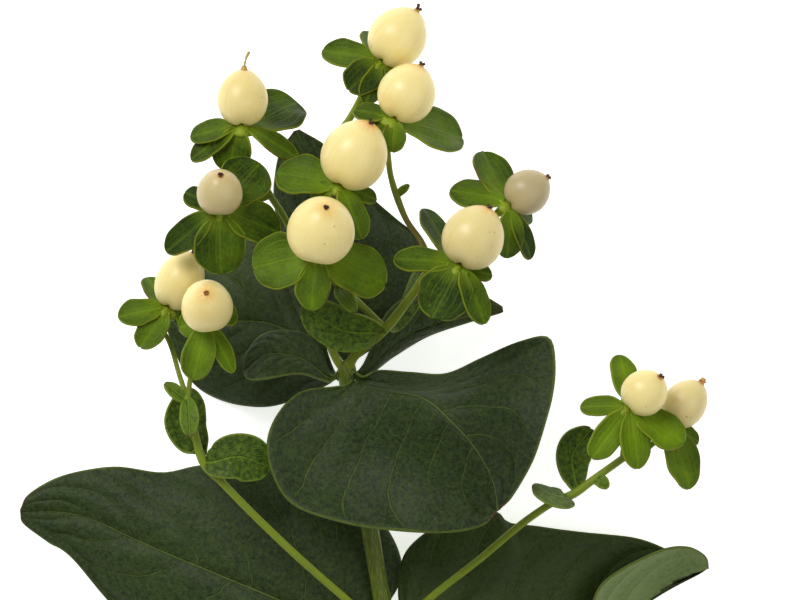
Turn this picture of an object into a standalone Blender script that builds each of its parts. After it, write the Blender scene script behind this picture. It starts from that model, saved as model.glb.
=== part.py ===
"""A cut stem of hypericum with cream berries, lying on its back on a flat surface.

The stem runs along Y with its flower head towards +Y, and the side that faces the viewer faces +Z.
Lengths below are in millimetres. Points are laid out round the middle of the flower head's view, and
centre_on_base moves the finished stem so that the origin is at the middle of its box, on the surface.
"""

import math

import bmesh
import bpy
import numpy as np
from mathutils import Vector

MM = 0.001

# Thicknesses and gaps
LEAF_THICKNESS = 0.8
SEPAL_THICKNESS = 0.7
BRACT_THICKNESS = 0.7
GAP = 0.35

# Shares of the mesh
LEAF_ROWS, LEAF_HALF_COLUMNS = 14, 3
LEAFLET_ROWS, LEAFLET_HALF_COLUMNS = 7, 2
SEPAL_ROWS, SEPAL_HALF_COLUMNS = 5, 1
ROW_CROWDING = 0.55
STEM_ROUNDNESS = 2
TUBE_STEP, TUBE_STEP_PER_RADIUS = 5.2, 4
BERRY_SEGMENTS, BERRY_RINGS = 14, 7
DISC_SEGMENTS, DISC_RINGS = 8, 5

# Calyx and styles
RECEPTACLE_RADIUS = 2.0
RECEPTACLE_HEIGHT = 1.5
BERRY_CLEARANCE = 0.5
STYLE_RADIUS = 0.4
STYLE_SPLAY = math.radians(24)
SEPAL_SWEEP_LIMIT = 0.3
SEPAL_PITCH = -8
SEPAL_TURN = 0.45
SEPAL_ROOT = 0.84
SEPAL_HANG = 4
SEPAL_RISE = 0.15
PEDICEL_END = 1.4
SEPAL_CURL = 0.10
SEPAL_CUP = 0.14

# Stem points are (x, y, height, radius). A side stem whose name ends in a number goes on to that berry's calyx.
MAIN_STEM = [
    (3.4, -166, 2.1, 2.1), (3.0, -152, 3.0, 2.0), (1.6, -130, 5.0, 1.9), (0.4, -112, 6.8, 2.05),
    (0.0, -108, 7.2, 2.05), (-0.6, -92, 8.6, 1.8), (-2.0, -72, 10.6, 1.95), (-2.6, -66, 11.2, 2.0),
    (-4.2, -57, 12.6, 1.7), (-6.2, -45, 14.6, 1.75), (-8.4, -30, 17.2, 1.7), (-10.1, -18, 19.4, 1.9),
    (-10.7, -13.6, 20.2, 1.8),
]
SIDE_STEMS = {
    "left": [(-2.6, -68, 11.2, 1.3), (-5.6, -65, 14.4, 1.2), (-11, -60, 17, 1.0), (-20, -52, 20, 1.0),
             (-29, -43.4, 22, 1.0), (-35.4, -36.8, 23.4, 1.0), (-39.4, -32.4, 24, 1.2), (-41.2, -26, 24.8, 0.9),
             (-42.6, -19.8, 26, 1.0)],
    "left to 01": [(-42.4, -20.2, 26, 0.8), (-44.2, -15, 24.4, 0.7), (-46, -9, 22.6, 0.7)],
    "left to 02": [(-42.5, -20, 26, 0.8), (-41.8, -15, 26.6, 0.7), (-40, -9, 27.2, 0.7)],
    "right": [(-2.2, -68, 11.2, 1.4), (1.4, -65, 14.2, 1.3), (6, -60, 16, 1.1), (16, -52, 19.5, 1.1),
              (24, -45.2, 22, 1.1), (30.6, -40.6, 23.4, 1.1), (34.8, -38.8, 24, 1.3), (40, -35, 25, 1.1),
              (45, -31.4, 26, 1.1)],
    "right to 09": [(44.6, -31.6, 26, 0.9), (44.8, -27.6, 25.4, 0.8)],
    "right to 10": [(44.6, -31.6, 26, 0.9), (49.6, -29.6, 23.6, 0.8)],
    "top left": [(-10.7, -14.6, 20, 1.3), (-12.8, -11.8, 20.2, 1.2), (-15, -7, 19.4, 1.0), (-18.6, 2, 18.4, 1.0),
                 (-22, 14, 20.4, 1.0), (-26.4, 21.6, 23.6, 1.0)],
    "top left to 03": [(-26, 21, 23.4, 0.9), (-30.4, 26.4, 24.6, 0.8)],
    "top left to 04": [(-26, 21, 23.4, 0.9), (-31.6, 18.4, 26, 0.8)],
    "top": [(-10.7, -14.4, 20.2, 1.6), (-9.4, -11.6, 22, 1.4), (-7.0, -9.4, 23.6, 1.25), (-3, -5.8, 26, 1.4),
            (1.8, 0.2, 29, 1.25), (6.0, 6.4, 32, 1.3)],
    "centre": [(-3, -5.8, 26, 1.2), (-8.4, -0.4, 27.2, 1.0), (-12.2, 3.4, 29.4, 1.0), (-13.2, 12, 29.6, 1.0)],
    "centre to 05": [(-12, 3, 29.4, 1.0), (-15.2, 5, 33.4, 0.9)],
    "centre to 06": [(-13.2, 11.4, 29.6, 1.0), (-13.8, 15.6, 32, 0.9)],
    "centre to 08": [(-13.2, 11.4, 29.6, 1.0), (-15.6, 21, 23.6, 0.9), (-14.4, 30, 20.4, 0.9), (-10, 36.6, 19.8, 1.0),
                     (-7.6, 41, 20.8, 1.0)],
    "top to 07": [(6, 6.4, 32, 1.2), (4.4, 11.4, 28.8, 0.9), (1.4, 15.8, 28.2, 0.85), (-0.6, 20.6, 28.6, 1.0),
                  (-1.9, 25, 28.6, 0.85), (-2.4, 29, 28.6, 0.85)],
    "top to 11": [(5.6, 5.6, 31.8, 1.2), (8.6, 4.0, 33.6, 1.0)],
    "top to 12": [(5.8, 6, 32, 1.1), (11.6, 10.4, 29.6, 0.9), (15.6, 14.2, 30.6, 0.9)],
}

# A large leaf is its rib, its left edge and its right edge, all from the base to the tip, as (x, y, height).
LARGE_LEAVES = {
    "leaf_lower_left": {
        "rib": [(-5.6, -68.4, 9.4), (-28, -59, 9.6), (-49.4, -50.2, 5.6), (-64.8, -43.6, 1.6), (-76.6, -42.8, 0)],
        "left": [(-6.2, -70.6, 8.8), (-18, -84, 4), (-36, -82, 0.6), (-52, -68.6, -0.9), (-66, -53, -0.9),
                 (-71.6, -49.2, -0.6), (-76.4, -45.4, -0.4), (-77, -43.2, 0)],
        "right": [(-5.2, -65.8, 8.6), (0.2, -55.4, 5.6), (-3.6, -44.8, 5.2), (-14, -36.6, 5), (-28, -33, 4.4),
                  (-40, -33.4, 3.4), (-48, -34.9, 2.6), (-58, -33.7, 2.2), (-68, -35.4, 1.4), (-75, -39.2, 0.8),
                  (-77, -42.4, 0.6)],
        "arch": 0.10,
    },
    "leaf_lower_right": {
        "rib": [(0.9, -69.6, 10), (14, -73.6, 9.2), (30, -72.4, 5), (43, -66.2, 1), (53, -59.6, -0.6),
                (62.2, -54.8, 0)],
        "left": [(1.2, -66.6, 9.6), (-0.2, -59, 8.4), (1.2, -51, 8), (8, -45.2, 8), (15, -42.6, 7.4),
                 (19.6, -42.6, 7), (21.8, -45, 6.4), (28, -45.8, 6), (37, -47, 4.4), (48, -48.2, 2.6),
                 (56, -51.4, 1), (62.4, -54.2, 0)],
        "right": [(1.0, -72.6, 9.2), (10, -86, 3.4), (24, -88, 2.4), (34, -80, 5.6), (38, -68, 11.6),
                  (39.6, -59, 13.4), (45, -54.2, 12), (52.4, -50.6, 9.6), (58, -50.4, 6.4), (62, -52.4, 2.4),
                  (62.6, -54.4, 0.2)],
        "arch": 0.08,
    },
    "leaf_front": {
        "rib": [(-8.6, -16.2, 23.6), (-3, -17.9, 29.4), (4.6, -19.6, 35), (10, -24, 38), (15, -29.6, 38.4),
                (18.4, -36, 36.6), (19.4, -41.4, 33.6)],
        "left": [(-10.2, -16.8, 23.6), (-20, -18.4, 24.6), (-25.6, -24.6, 26), (-26.4, -32, 27.6), (-22, -40.2, 30),
                 (-12, -44.2, 32.6), (0, -46, 34.6), (9.6, -46.3, 34.6), (16.4, -45, 33.6), (19.2, -42.2, 33.4)],
        "right": [(-7.4, -15.4, 23.4), (-4, -14, 19.6), (2, -14.4, 18.6), (9, -14.6, 22.6), (16, -11.6, 26.4),
                  (24, -8.2, 29), (29.6, -7.4, 30.4), (30.9, -12.4, 31.6), (30, -21, 32.6), (27, -31, 33),
                  (22.6, -39, 33.2), (19.8, -41.8, 33.4)],
        "arch": 0.16,
    },
    "leaf_fold": {
        "rib": [(-14, -15.6, 21.8), (-20, -11.6, 24), (-27, -11, 26), (-31, -14, 26.6)],
        "left": [(-13.9, -16.5, 22.2), (-20, -14.8, 27), (-26.6, -15.8, 29.4), (-30, -16, 28.4), (-31.2, -14.6, 26.8)],
        "right": [(-14, -14.8, 21.4), (-16.8, -8.6, 20), (-22, -6.3, 21), (-27.6, -7, 23), (-30.8, -10.8, 25.6),
                  (-31.2, -13.6, 26.4)],
        "arch": 0.12,
    },
    "leaf_back_left": {
        "rib": [(-13.4, -15.4, 16.8), (-19, -8.4, 12.6), (-27, -4.6, 7), (-38, -3.8, 2.4), (-48.6, 1, 0)],
        "left": [(-13.8, -16.6, 16), (-21, -20, 9), (-28, -21.4, 4.8), (-36, -20.2, 1.4), (-42.4, -16, -0.6),
                 (-46.6, -8, -0.6), (-48.8, 0.4, -0.2)],
        "right": [(-13.2, -14.2, 16.4), (-16.8, -3, 12.6), (-20.8, 6, 8), (-28, 12.2, 3.4), (-37, 12, 0.6),
                  (-45.6, 7.6, -0.4), (-49, 1.6, 0)],
        "arch": 0.10,
    },
    "leaf_back_right": {
        "rib": [(-7.2, -14.4, 18.6), (0.6, -7.8, 14.6), (10, -4.2, 10), (20.6, -1.9, 6.4)],
        "left": [(-7.6, -13.2, 18.2), (-2.4, -2.4, 13.4), (5, 2.2, 9.6), (13, 2.6, 7.2), (20.6, -1.4, 6.2)],
        "right": [(-6.8, -15.4, 18), (-1.4, -11.2, 13.6), (5, -7.4, 10.2), (12, -4.9, 8), (20.8, -2.4, 6.2)],
        "arch": 0.10,
    },
    "leaf_back_top": {
        "rib": [(-10.4, -12.4, 15.4), (-11, 0, 10), (-13.6, 14, 5), (-17.6, 26, 1), (-21, 34.4, 0)],
        "left": [(-11.4, -12.4, 15), (-17.2, -3, 8.2), (-22.6, 8, 4.2), (-25.4, 19, 0.8), (-24.6, 29, -0.6),
                 (-21.6, 34.2, -0.2)],
        "right": [(-9.4, -12.4, 15.2), (0.6, -5, 7.6), (6.4, 3, 2.4), (5.4, 11.2, -0.4), (-0.6, 16.4, -0.8),
                  (-7, 22.4, -0.8), (-14.4, 30.6, -0.6), (-20.4, 34.6, -0.2)],
        "arch": 0.10,
    },
}

# A small leaf is its rib from base to tip, its width and the way that its upper face looks.
SMALL_LEAVES = {
    "leaf_left_upper": {"rib": [(-40.4, -30.2, 22.6), (-43, -25, 20.6), (-42.2, -17.6, 21)], "width": 8.4,
                        "faces": (0.25, 0.1, 1)},
    "leaf_left_lower": {"rib": [(-37.2, -32.4, 26), (-32, -31.4, 26), (-25.8, -33.6, 23.4)], "width": 9.6,
                        "faces": (0, 0.1, 1)},
    "leaf_right_lower": {"rib": [(33.2, -39.8, 26.6), (30, -38.9, 27.4), (26.6, -37, 26.6)], "width": 5.6,
                         "faces": (-0.5, -0.8, -0.7)},
    "leaf_right_upper": {"rib": [(35.2, -36.6, 23.2), (34.6, -31, 21.6), (38.4, -25.8, 21)], "width": 7.4,
                         "faces": (0.4, 0.2, 1)},
    "leaf_top_left": {"rib": [(-5, -6.6, 27.6), (-12, -5.8, 29.6), (-19.4, -0.8, 29.4)], "width": 9.4,
                      "faces": (0.1, -0.5, 1)},
    "leaf_top_right": {"rib": [(-0.8, -4.8, 23.8), (2.2, 0.2, 24), (3.6, 6.0, 23.6)], "width": 5,
                       "faces": (0.7, -0.4, 0.8)},
}

# Bracts are tiny leaves that grow from a stem, in the same form as small leaves.
BRACTS = {
    "left outer bract": {"rib": [(-42.4, -20.2, 26), (-44.6, -18.6, 27), (-47, -16.6, 27)], "width": 3,
                         "faces": (0.3, 0.4, 1)},
    "left inner bract": {"rib": [(-42.4, -19.6, 26.4), (-42.2, -23, 28.4), (-42, -27.2, 28.6)], "width": 3.8,
                         "faces": (0, -0.1, 1)},
    "right bract": {"rib": [(38.8, -36, 25), (40.2, -36.2, 26), (41.6, -37.6, 26)], "width": 2.6,
                    "faces": (0, 0.3, 1)},
    "centre bract": {"rib": [(-12.2, 2.6, 30), (-11, 0.6, 33.4), (-8.8, -2.4, 34.4)], "width": 3.4,
                     "faces": (0.1, 0.1, 1)},
    "top bract": {"rib": [(-0.8, 20.6, 28.6), (0.2, 21.6, 28.9), (1.8, 23, 29.2)], "width": 1.6,
                  "faces": (0.3, -0.3, 1)},
}

# A berry is the point at its middle, its width, its length, the way that its tip points and the lengths of its
# styles. Its sepals are (bearing in degrees, reach, width[, pitch in degrees]), seen from above.
BERRIES = {
    "01": {"middle": (-44, 3.8, 27), "width": 9.6, "length": 12.4, "axis": (0.42, 0.87, 0.25), "styles": 1.3,
           "sepals": [(190, 10, 6, 8), (236, 9.6, 6.2, 12), (118, 8, 5), (62, 5, 4), (-50, 6, 4, -40)]},
    "02": {"middle": (-38.4, -1.2, 37.6), "width": 10.4, "length": 12.4, "axis": (0, 0.4, 0.92), "styles": 0.7,
           "sepals": [(256, 12.4, 6.8, 10), (296, 12, 3.6, 0), (12, 6, 5), (80, 5, 5), (196, 6, 5)]},
    "03": {"middle": (-31.4, 40.2, 31), "width": 10.2, "length": 11.4, "axis": (0.05, 0.97, 0.2), "styles": 0,
           "sepals": [(190, 10.4, 5.4), (213, 12, 5), (254, 9.4, 8, -10), (-28, 13, 4.6), (26, 13.2, 10, -40)]},
    "04": {"middle": (-35.8, 21.4, 41.8), "width": 9.2, "length": 9.8, "axis": (0.05, 0.65, 0.75), "styles": 0.8,
           "sepals": [(218, 13.6, 6), (272, 13, 10.2), (-20, 13.2, 8.4), (50, 12.6, 10.4), (152, 7.6, 5)]},
    "05": {"middle": (-15.6, 13.8, 47.5), "width": 13.6, "length": 14.2, "axis": (0.14, 0.6, 0.78), "styles": 0.9,
           "sepals": [(192, 13, 11.6), (265, 11.6, 6.8, 4), (-23, 15.2, 10.4), (60, 6, 6), (125, 7, 6)]},
    "06": {"middle": (-9, 28.8, 40), "width": 13.2, "length": 14.4, "axis": (0.42, 0.83, 0.36), "styles": 1.4,
           "sepals": [(167, 12.8, 9.4), (-66, 11.6, 6.4, 14), (204, 6, 4.6), (-19, 8, 3.8), (96, 7, 6)]},
    "07": {"middle": (1.4, 41.2, 33), "width": 11.6, "length": 12, "axis": (0.44, 0.88, 0.15), "styles": 1.4,
           "sepals": [(-8, 15, 10.4, -34), (165, 8, 5.2, -14), (266, 6.6, 5, 14), (68, 6, 5), (216, 6, 4.6, -20)]},
    "08": {"middle": (-0.4, 52.6, 26), "width": 11.6, "length": 12.6, "axis": (0.57, 0.8, 0.15), "styles": 2.0,
           "sepals": [(168, 11.8, 6.8), (104, 8.4, 5), (222, 8.6, 7.6, 20), (250, 9, 5, 20), (-50, 6, 4.6)]},
    "09": {"middle": (48.8, -18.4, 32.5), "width": 9.2, "length": 9.6, "axis": (0.6, 0.6, 0.5), "styles": 1.1,
           "sepals": [(97, 11, 5.6), (180, 9.8, 4.4), (233, 12.8, 6, 10), (-81, 12.4, 6.6, 12), (-30, 12.8, 8, 8)]},
    "10": {"middle": (57, -20.8, 24.6), "width": 8.8, "length": 10.4, "axis": (0.6, 0.78, 0.1), "styles": 1.3,
           "sepals": [(-72, 13.6, 7.6, 4), (97, 10, 4.4), (190, 5, 4, -34), (20, 5, 4, -40), (-24, 7, 4)]},
    "11": {"middle": (14.6, 12.4, 41), "width": 12.4, "length": 13, "axis": (0.45, 0.87, 0.2), "styles": 1.2,
           "sepals": [(116, 14.6, 5.2), (172, 13, 6, 2), (243, 11.8, 11, 15), (-65, 12.6, 6, 12), (-12, 7, 4)]},
    "12": {"middle": (25.4, 21.6, 33.6), "width": 9, "length": 9.4, "axis": (0.8, 0.58, 0.15), "styles": 1.1,
           "sepals": [(112, 12.4, 8.4, -24), (166, 12, 6.6), (268, 10.6, 6.4, 4), (-66, 11.6, 4.6), (-20, 6, 4)]},
}
# One berry keeps a whole style: a thread from its tip, as (x, y, height, radius).
STYLE_THREAD_03 = [(-31.2, 44.6, 32, 0.55), (-31.0, 47.4, 32.4, 0.4), (-30.4, 50, 32.4, 0.32), (-29.6, 51.4, 32.2, 0.32)]

# Colours are red, green, blue shares of light; roughness follows.
COLOURS = {
    "stem": ((0.20, 0.27, 0.05), 0.5),
    "large leaf": ((0.045, 0.075, 0.028), 0.45),
    "small leaf": ((0.09, 0.16, 0.02), 0.45),
    "calyx": ((0.11, 0.18, 0.02), 0.45),
    "berry": ((0.85, 0.75, 0.42), 0.3),
}


def clear_scene():
    for old in list(bpy.data.objects):
        bpy.data.objects.remove(old)


def new_collection(name):
    made = bpy.data.collections.new(name)
    bpy.context.scene.collection.children.link(made)
    return made


def new_material(name):
    colour, roughness = COLOURS[name]
    made = bpy.data.materials.new(name)
    made.use_nodes = True
    shader = made.node_tree.nodes["Principled BSDF"]
    shader.inputs["Base Color"].default_value = (*colour, 1)
    shader.inputs["Roughness"].default_value = roughness
    shader.inputs["Metallic"].default_value = 0
    return made


def unit(vector):
    vector = np.asarray(vector, float)
    return vector / np.linalg.norm(vector)


def smooth_curve(points, count, crowding=0.0):
    """count + 1 points on a Catmull-Rom curve through the given points, evenly spaced or crowded to both ends."""
    points = np.asarray(points, float)
    ends = np.vstack([2 * points[0] - points[1], points, 2 * points[-1] - points[-2]])
    chords = np.linalg.norm(np.diff(points[:, :3], axis=0), axis=1)
    marks = np.concatenate([[0], np.cumsum(chords)])
    even = np.linspace(0, 1, count + 1)
    wanted = marks[-1] * (even - crowding * np.sin(math.tau * even) / math.tau)
    spans = np.clip(np.searchsorted(marks, wanted, side="right") - 1, 0, len(chords) - 1)
    t = ((wanted - marks[spans]) / chords[spans])[:, None]
    a, b, c, d = (ends[spans + step] for step in range(4))
    return 0.5 * (2 * b + (c - a) * t + (2 * a - 5 * b + 4 * c - d) * t**2 + (3 * b - a - 3 * c + d) * t**3)


def tangents(curve):
    ways = np.gradient(curve[:, :3], axis=0)
    return ways / np.linalg.norm(ways, axis=1, keepdims=True)


def blade_grid(rib, left, right, arch, half_columns):
    """Rows of points from the left edge over the rib to the right edge, each half bulging by arch times its width."""
    across = right - left
    up = np.cross(across, tangents(rib))
    up /= np.linalg.norm(up, axis=1, keepdims=True)
    shares = np.linspace(-1, 1, 2 * half_columns + 1)
    columns = []
    for share in shares:
        edge = left if share < 0 else right
        width = np.linalg.norm(edge - rib, axis=1, keepdims=True)
        bulge = arch * width * 4 * abs(share) * (1 - abs(share))
        columns.append(rib + abs(share) * (edge - rib) + up * bulge)
    return np.stack(columns, axis=1)


def outline_share(along):
    """Half-width of an ovate blade, as a share of the widest, from its base at 0 to its tip at 1."""
    widest = 0.56
    reach = np.where(along < widest, widest, 1 - widest)
    rounded = np.sqrt(np.clip(1 - ((along - widest) / reach) ** 2, 0, 1))
    return np.where(along < widest, np.maximum(rounded**1.5, 0.22), np.maximum(rounded, 0.1))


def simple_blade_grid(rib_points, width, faces, rows, half_columns, cup):
    """A blade whose edges keep an even distance from its rib, dished by cup towards the side that it faces."""
    rib = smooth_curve(rib_points, rows, ROW_CROWDING)
    way = tangents(rib)
    side = np.cross(way, unit(faces))
    side /= np.linalg.norm(side, axis=1, keepdims=True)
    up = np.cross(side, way)
    even = np.linspace(0, 1, rows + 1)
    along = even - ROW_CROWDING * np.sin(math.tau * even) / math.tau
    half = (width / 2 * outline_share(along))[:, None]
    left = rib - side * half + up * cup * half
    right = rib + side * half + up * cup * half
    return blade_grid(rib, left, right, -0.06, half_columns)


def across_axis(way, axis):
    """The part of a way that is square to an axis."""
    return way - (way @ axis) * axis


def sepal_rib(base, axis, bearing, reach, pitch):
    """A sepal's rib and the way that it faces: it never leans far towards the berry's tip, and it faces partly
    along the berry and partly up at the viewer. One that hangs down starts on the viewer's side of the calyx."""
    flat_way = np.array([math.cos(math.radians(bearing)), math.sin(math.radians(bearing)), 0])
    lean = float(axis @ flat_way)
    tilt = math.radians(pitch)
    if lean * math.cos(tilt) + axis[2] * math.sin(tilt) > SEPAL_SWEEP_LIMIT:
        size = math.hypot(lean, axis[2])
        tilt = math.atan2(axis[2], lean) - math.acos(SEPAL_SWEEP_LIMIT / size)
    way = flat_way * math.cos(tilt) + np.array([0, 0, math.sin(tilt)])
    towards = SEPAL_TURN * axis + (1 - SEPAL_TURN) * np.array([0, 0, 1])
    faces = unit(across_axis(towards, way))
    hang = max(0.0, -float(way @ axis))
    outward = unit(across_axis(way, axis) + SEPAL_HANG * hang * across_axis(faces, axis))
    root = base + SEPAL_ROOT * RECEPTACLE_RADIUS * outward + SEPAL_RISE * axis
    length = reach / max(math.cos(tilt), 0.7) - SEPAL_ROOT * RECEPTACLE_RADIUS * max(0.0, float(outward @ way))
    stations = np.linspace(0, 1, 4)[:, None]
    return root + way * length * stations - faces * SEPAL_CURL * length * stations**2, faces


def grid_object(name, points, thickness, collection):
    """A sheet of this thickness whose middle surface passes through a grid of points."""
    rows, columns = points.shape[0] - 1, points.shape[1] - 1
    mesh = bpy.data.meshes.new(name)
    sheet = bmesh.new()
    bmesh.ops.create_grid(sheet, x_segments=columns, y_segments=rows, size=1)
    for vertex in sheet.verts:
        column = round((vertex.co.x + 1) / 2 * columns)
        row = round((vertex.co.y + 1) / 2 * rows)
        vertex.co = Vector(points[row, column]) * MM
    bmesh.ops.triangulate(sheet, faces=sheet.faces)
    sheet.to_mesh(mesh)
    sheet.free()
    mesh.shade_smooth()
    made = bpy.data.objects.new(name, mesh)
    collection.objects.link(made)
    thick = made.modifiers.new("thickness", "SOLIDIFY")
    thick.thickness = thickness * MM
    thick.offset = 0
    return made


def tube_object(name, points, collection, tail=()):
    """A round stem through (x, y, height, radius) points, then straight on to its tail, with closed ends."""
    length = sum(math.dist(a[:3], b[:3]) for a, b in zip(points, points[1:]))
    thickness = sum(point[3] for point in points) / len(points)
    steps = max(2, round(length / max(TUBE_STEP, TUBE_STEP_PER_RADIUS * thickness)))
    smooth = [*smooth_curve(points, steps), *tail]
    curve = bpy.data.curves.new(name, "CURVE")
    curve.dimensions = "3D"
    curve.bevel_depth = MM
    curve.bevel_resolution = STEM_ROUNDNESS
    curve.use_fill_caps = True
    spline = curve.splines.new("POLY")
    spline.points.add(len(smooth) - 1)
    for point, (x, y, height, radius) in zip(spline.points, smooth):
        point.co = (x * MM, y * MM, height * MM, 1)
        point.radius = radius
    bent = bpy.data.objects.new(name, curve)
    collection.objects.link(bent)
    graph = bpy.context.evaluated_depsgraph_get()
    mesh = bpy.data.meshes.new_from_object(bent.evaluated_get(graph))
    bpy.data.objects.remove(bent)
    welded = bmesh.new()
    welded.from_mesh(mesh)
    bmesh.ops.remove_doubles(welded, verts=welded.verts, dist=0.00001)
    welded.to_mesh(mesh)
    welded.free()
    mesh.shade_smooth()
    made = bpy.data.objects.new(name, mesh)
    collection.objects.link(made)
    return made


def round_object(name, middle, axis, shape, segments, rings, collection):
    """A round body along an axis. shape turns a unit sphere's point into millimetres across, across and along."""
    mesh = bpy.data.meshes.new(name)
    ball = bmesh.new()
    bmesh.ops.create_uvsphere(ball, u_segments=segments, v_segments=rings, radius=1)
    turn = Vector(axis).to_track_quat("Z", "Y")
    for vertex in ball.verts:
        vertex.co = (turn @ Vector(shape(vertex.co)) + Vector(middle)) * MM
    ball.to_mesh(mesh)
    ball.free()
    mesh.shade_smooth()
    made = bpy.data.objects.new(name, mesh)
    collection.objects.link(made)
    return made


def style_object(name, root, way, length, collection):
    """One of a berry's three short styles: a blunt cone whose foot is inside the berry."""
    mesh = bpy.data.meshes.new(name)
    cone = bmesh.new()
    bmesh.ops.create_cone(cone, cap_ends=True, segments=5, radius1=STYLE_RADIUS, radius2=0.6 * STYLE_RADIUS, depth=length)
    turn = Vector(way).to_track_quat("Z", "Y")
    for vertex in cone.verts:
        vertex.co = (turn @ (vertex.co + Vector((0, 0, length / 2))) + Vector(root)) * MM
    cone.to_mesh(mesh)
    cone.free()
    made = bpy.data.objects.new(name, mesh)
    collection.objects.link(made)
    return made


def fuse(body, shapes):
    """Joins the shapes of a collection into body as one closed surface, and removes the collection."""
    for shape in [body, *shapes.objects]:
        bpy.context.view_layer.objects.active = shape
        for modifier in list(shape.modifiers):
            bpy.ops.object.modifier_apply(modifier=modifier.name)
    union = body.modifiers.new("fuse", "BOOLEAN")
    union.operation = "UNION"
    union.operand_type = "COLLECTION"
    union.collection = shapes
    union.solver = "EXACT"
    bpy.context.view_layer.objects.active = body
    bpy.ops.object.modifier_apply(modifier=union.name)
    for shape in list(shapes.objects):
        bpy.data.objects.remove(shape)
    bpy.data.collections.remove(shapes)


def paint(made, material):
    made.data.materials.clear()
    made.data.materials.append(material)


def calyx_middle(berry):
    drop = berry["length"] / 2 + BERRY_CLEARANCE + RECEPTACLE_HEIGHT / 2
    return np.array(berry["middle"], float) - unit(berry["axis"]) * drop


def pedicel_end(berry, radius):
    """The last two points of a berry's stalk, which comes in square to the calyx and stops a gap short of it."""
    axis = unit(berry["axis"])
    foot = calyx_middle(berry) - axis * (RECEPTACLE_HEIGHT / 2 + GAP)
    return (*(foot - axis * PEDICEL_END), 0.9 * radius), (*foot, 0.9 * radius)


def make_stem(name, plant, material):
    """The whole branching stem with its bracts, as one body."""
    body = tube_object(name, MAIN_STEM, plant)
    growths = new_collection(name + " growths")
    for branch, route in SIDE_STEMS.items():
        berry = BERRIES.get(branch[-2:])
        if berry:
            bend, foot = pedicel_end(berry, route[-1][3])
            tube_object(branch, [*route, bend], growths, [foot])
        else:
            tube_object(branch, route, growths)
    for bract, leaf in BRACTS.items():
        points = simple_blade_grid(leaf["rib"], leaf["width"], leaf["faces"], SEPAL_ROWS, 1, SEPAL_CUP)
        grid_object(bract, points, BRACT_THICKNESS, growths)
    fuse(body, growths)
    paint(body, material)


def make_large_leaf(name, leaf, plant, material):
    rib, left, right = (smooth_curve(leaf[part], LEAF_ROWS, ROW_CROWDING) for part in ("rib", "left", "right"))
    points = blade_grid(rib, left, right, leaf["arch"], LEAF_HALF_COLUMNS)
    points[..., 2] = np.maximum(points[..., 2], LEAF_THICKNESS / 2)
    paint(grid_object(name, points, LEAF_THICKNESS, plant), material)


def make_small_leaf(name, leaf, plant, material):
    points = simple_blade_grid(
        leaf["rib"], leaf["width"], leaf["faces"], LEAFLET_ROWS, LEAFLET_HALF_COLUMNS, SEPAL_CUP
    )
    paint(grid_object(name, points, LEAF_THICKNESS, plant), material)


def berry_shape(width, length):
    """A berry's body: three shallow furrows, deepest at the foot, and a slight point at the tip."""

    def shape(point):
        around = math.atan2(point.y, point.x)
        furrow = 1 - 0.05 * (0.5 - 0.5 * point.z) * (0.5 + 0.5 * math.cos(3 * around))
        taper = 1 - 0.06 * point.z
        across = width / 2 * furrow * taper
        peak = 0.08 * max(0.0, point.z - 0.8) * 5
        return across * point.x, across * point.y, length / 2 * (point.z + peak * 0.5)

    return shape


def make_berry(number, berry, plant, material):
    axis = unit(berry["axis"])
    middle = np.array(berry["middle"], float)
    body = round_object(
        f"berry_{number}", middle, axis, berry_shape(berry["width"], berry["length"]),
        BERRY_SEGMENTS, BERRY_RINGS, plant,
    )
    styles = new_collection(f"berry_{number} styles")
    tip = middle + axis * berry["length"] / 2
    if berry["styles"]:
        side = unit(np.cross(axis, (0.3, 0.2, 1)))
        other = np.cross(axis, side)
        for third in range(3):
            angle = math.tau * third / 3
            splay = side * math.cos(angle) + other * math.sin(angle)
            way = axis * math.cos(STYLE_SPLAY) + splay * math.sin(STYLE_SPLAY)
            root = tip - axis * 0.9 + splay * 0.1
            style_object(f"style {third}", root, way, berry["styles"] + 0.9, styles)
    else:
        tube_object("style thread", STYLE_THREAD_03, styles)
    fuse(body, styles)
    paint(body, material)


def make_calyx(number, berry, plant, material):
    """The star of five sepals under a berry, on the small disc that the berry sits on."""
    axis = unit(berry["axis"])
    base = calyx_middle(berry)
    half_height = RECEPTACLE_HEIGHT / 2

    def disc(point):
        return point.x * RECEPTACLE_RADIUS, point.y * RECEPTACLE_RADIUS, point.z * half_height

    body = round_object(f"calyx_{number}", base, axis, disc, DISC_SEGMENTS, DISC_RINGS, plant)
    sepals = new_collection(f"calyx_{number} sepals")
    for order, (bearing, reach, width, *pitch) in enumerate(berry["sepals"]):
        rib, faces = sepal_rib(base, axis, bearing, reach, pitch[0] if pitch else SEPAL_PITCH)
        points = simple_blade_grid(rib, width, faces, SEPAL_ROWS, SEPAL_HALF_COLUMNS, SEPAL_CUP)
        grid_object(f"sepal {order}", points, SEPAL_THICKNESS, sepals)
    fuse(body, sepals)
    paint(body, material)


def centre_on_base(plant):
    """Moves the stem so that the origin is at the middle of its box, on the surface that it lies on."""
    graph = bpy.context.evaluated_depsgraph_get()
    corners = []
    for made in plant.objects:
        mesh = made.evaluated_get(graph).data
        corners += [vertex.co.copy() for vertex in mesh.vertices]
    points = np.array(corners)
    low, high = points.min(axis=0), points.max(axis=0)
    shift = Vector((-(low[0] + high[0]) / 2, -(low[1] + high[1]) / 2, -low[2]))
    for made in plant.objects:
        made.location = shift


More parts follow.
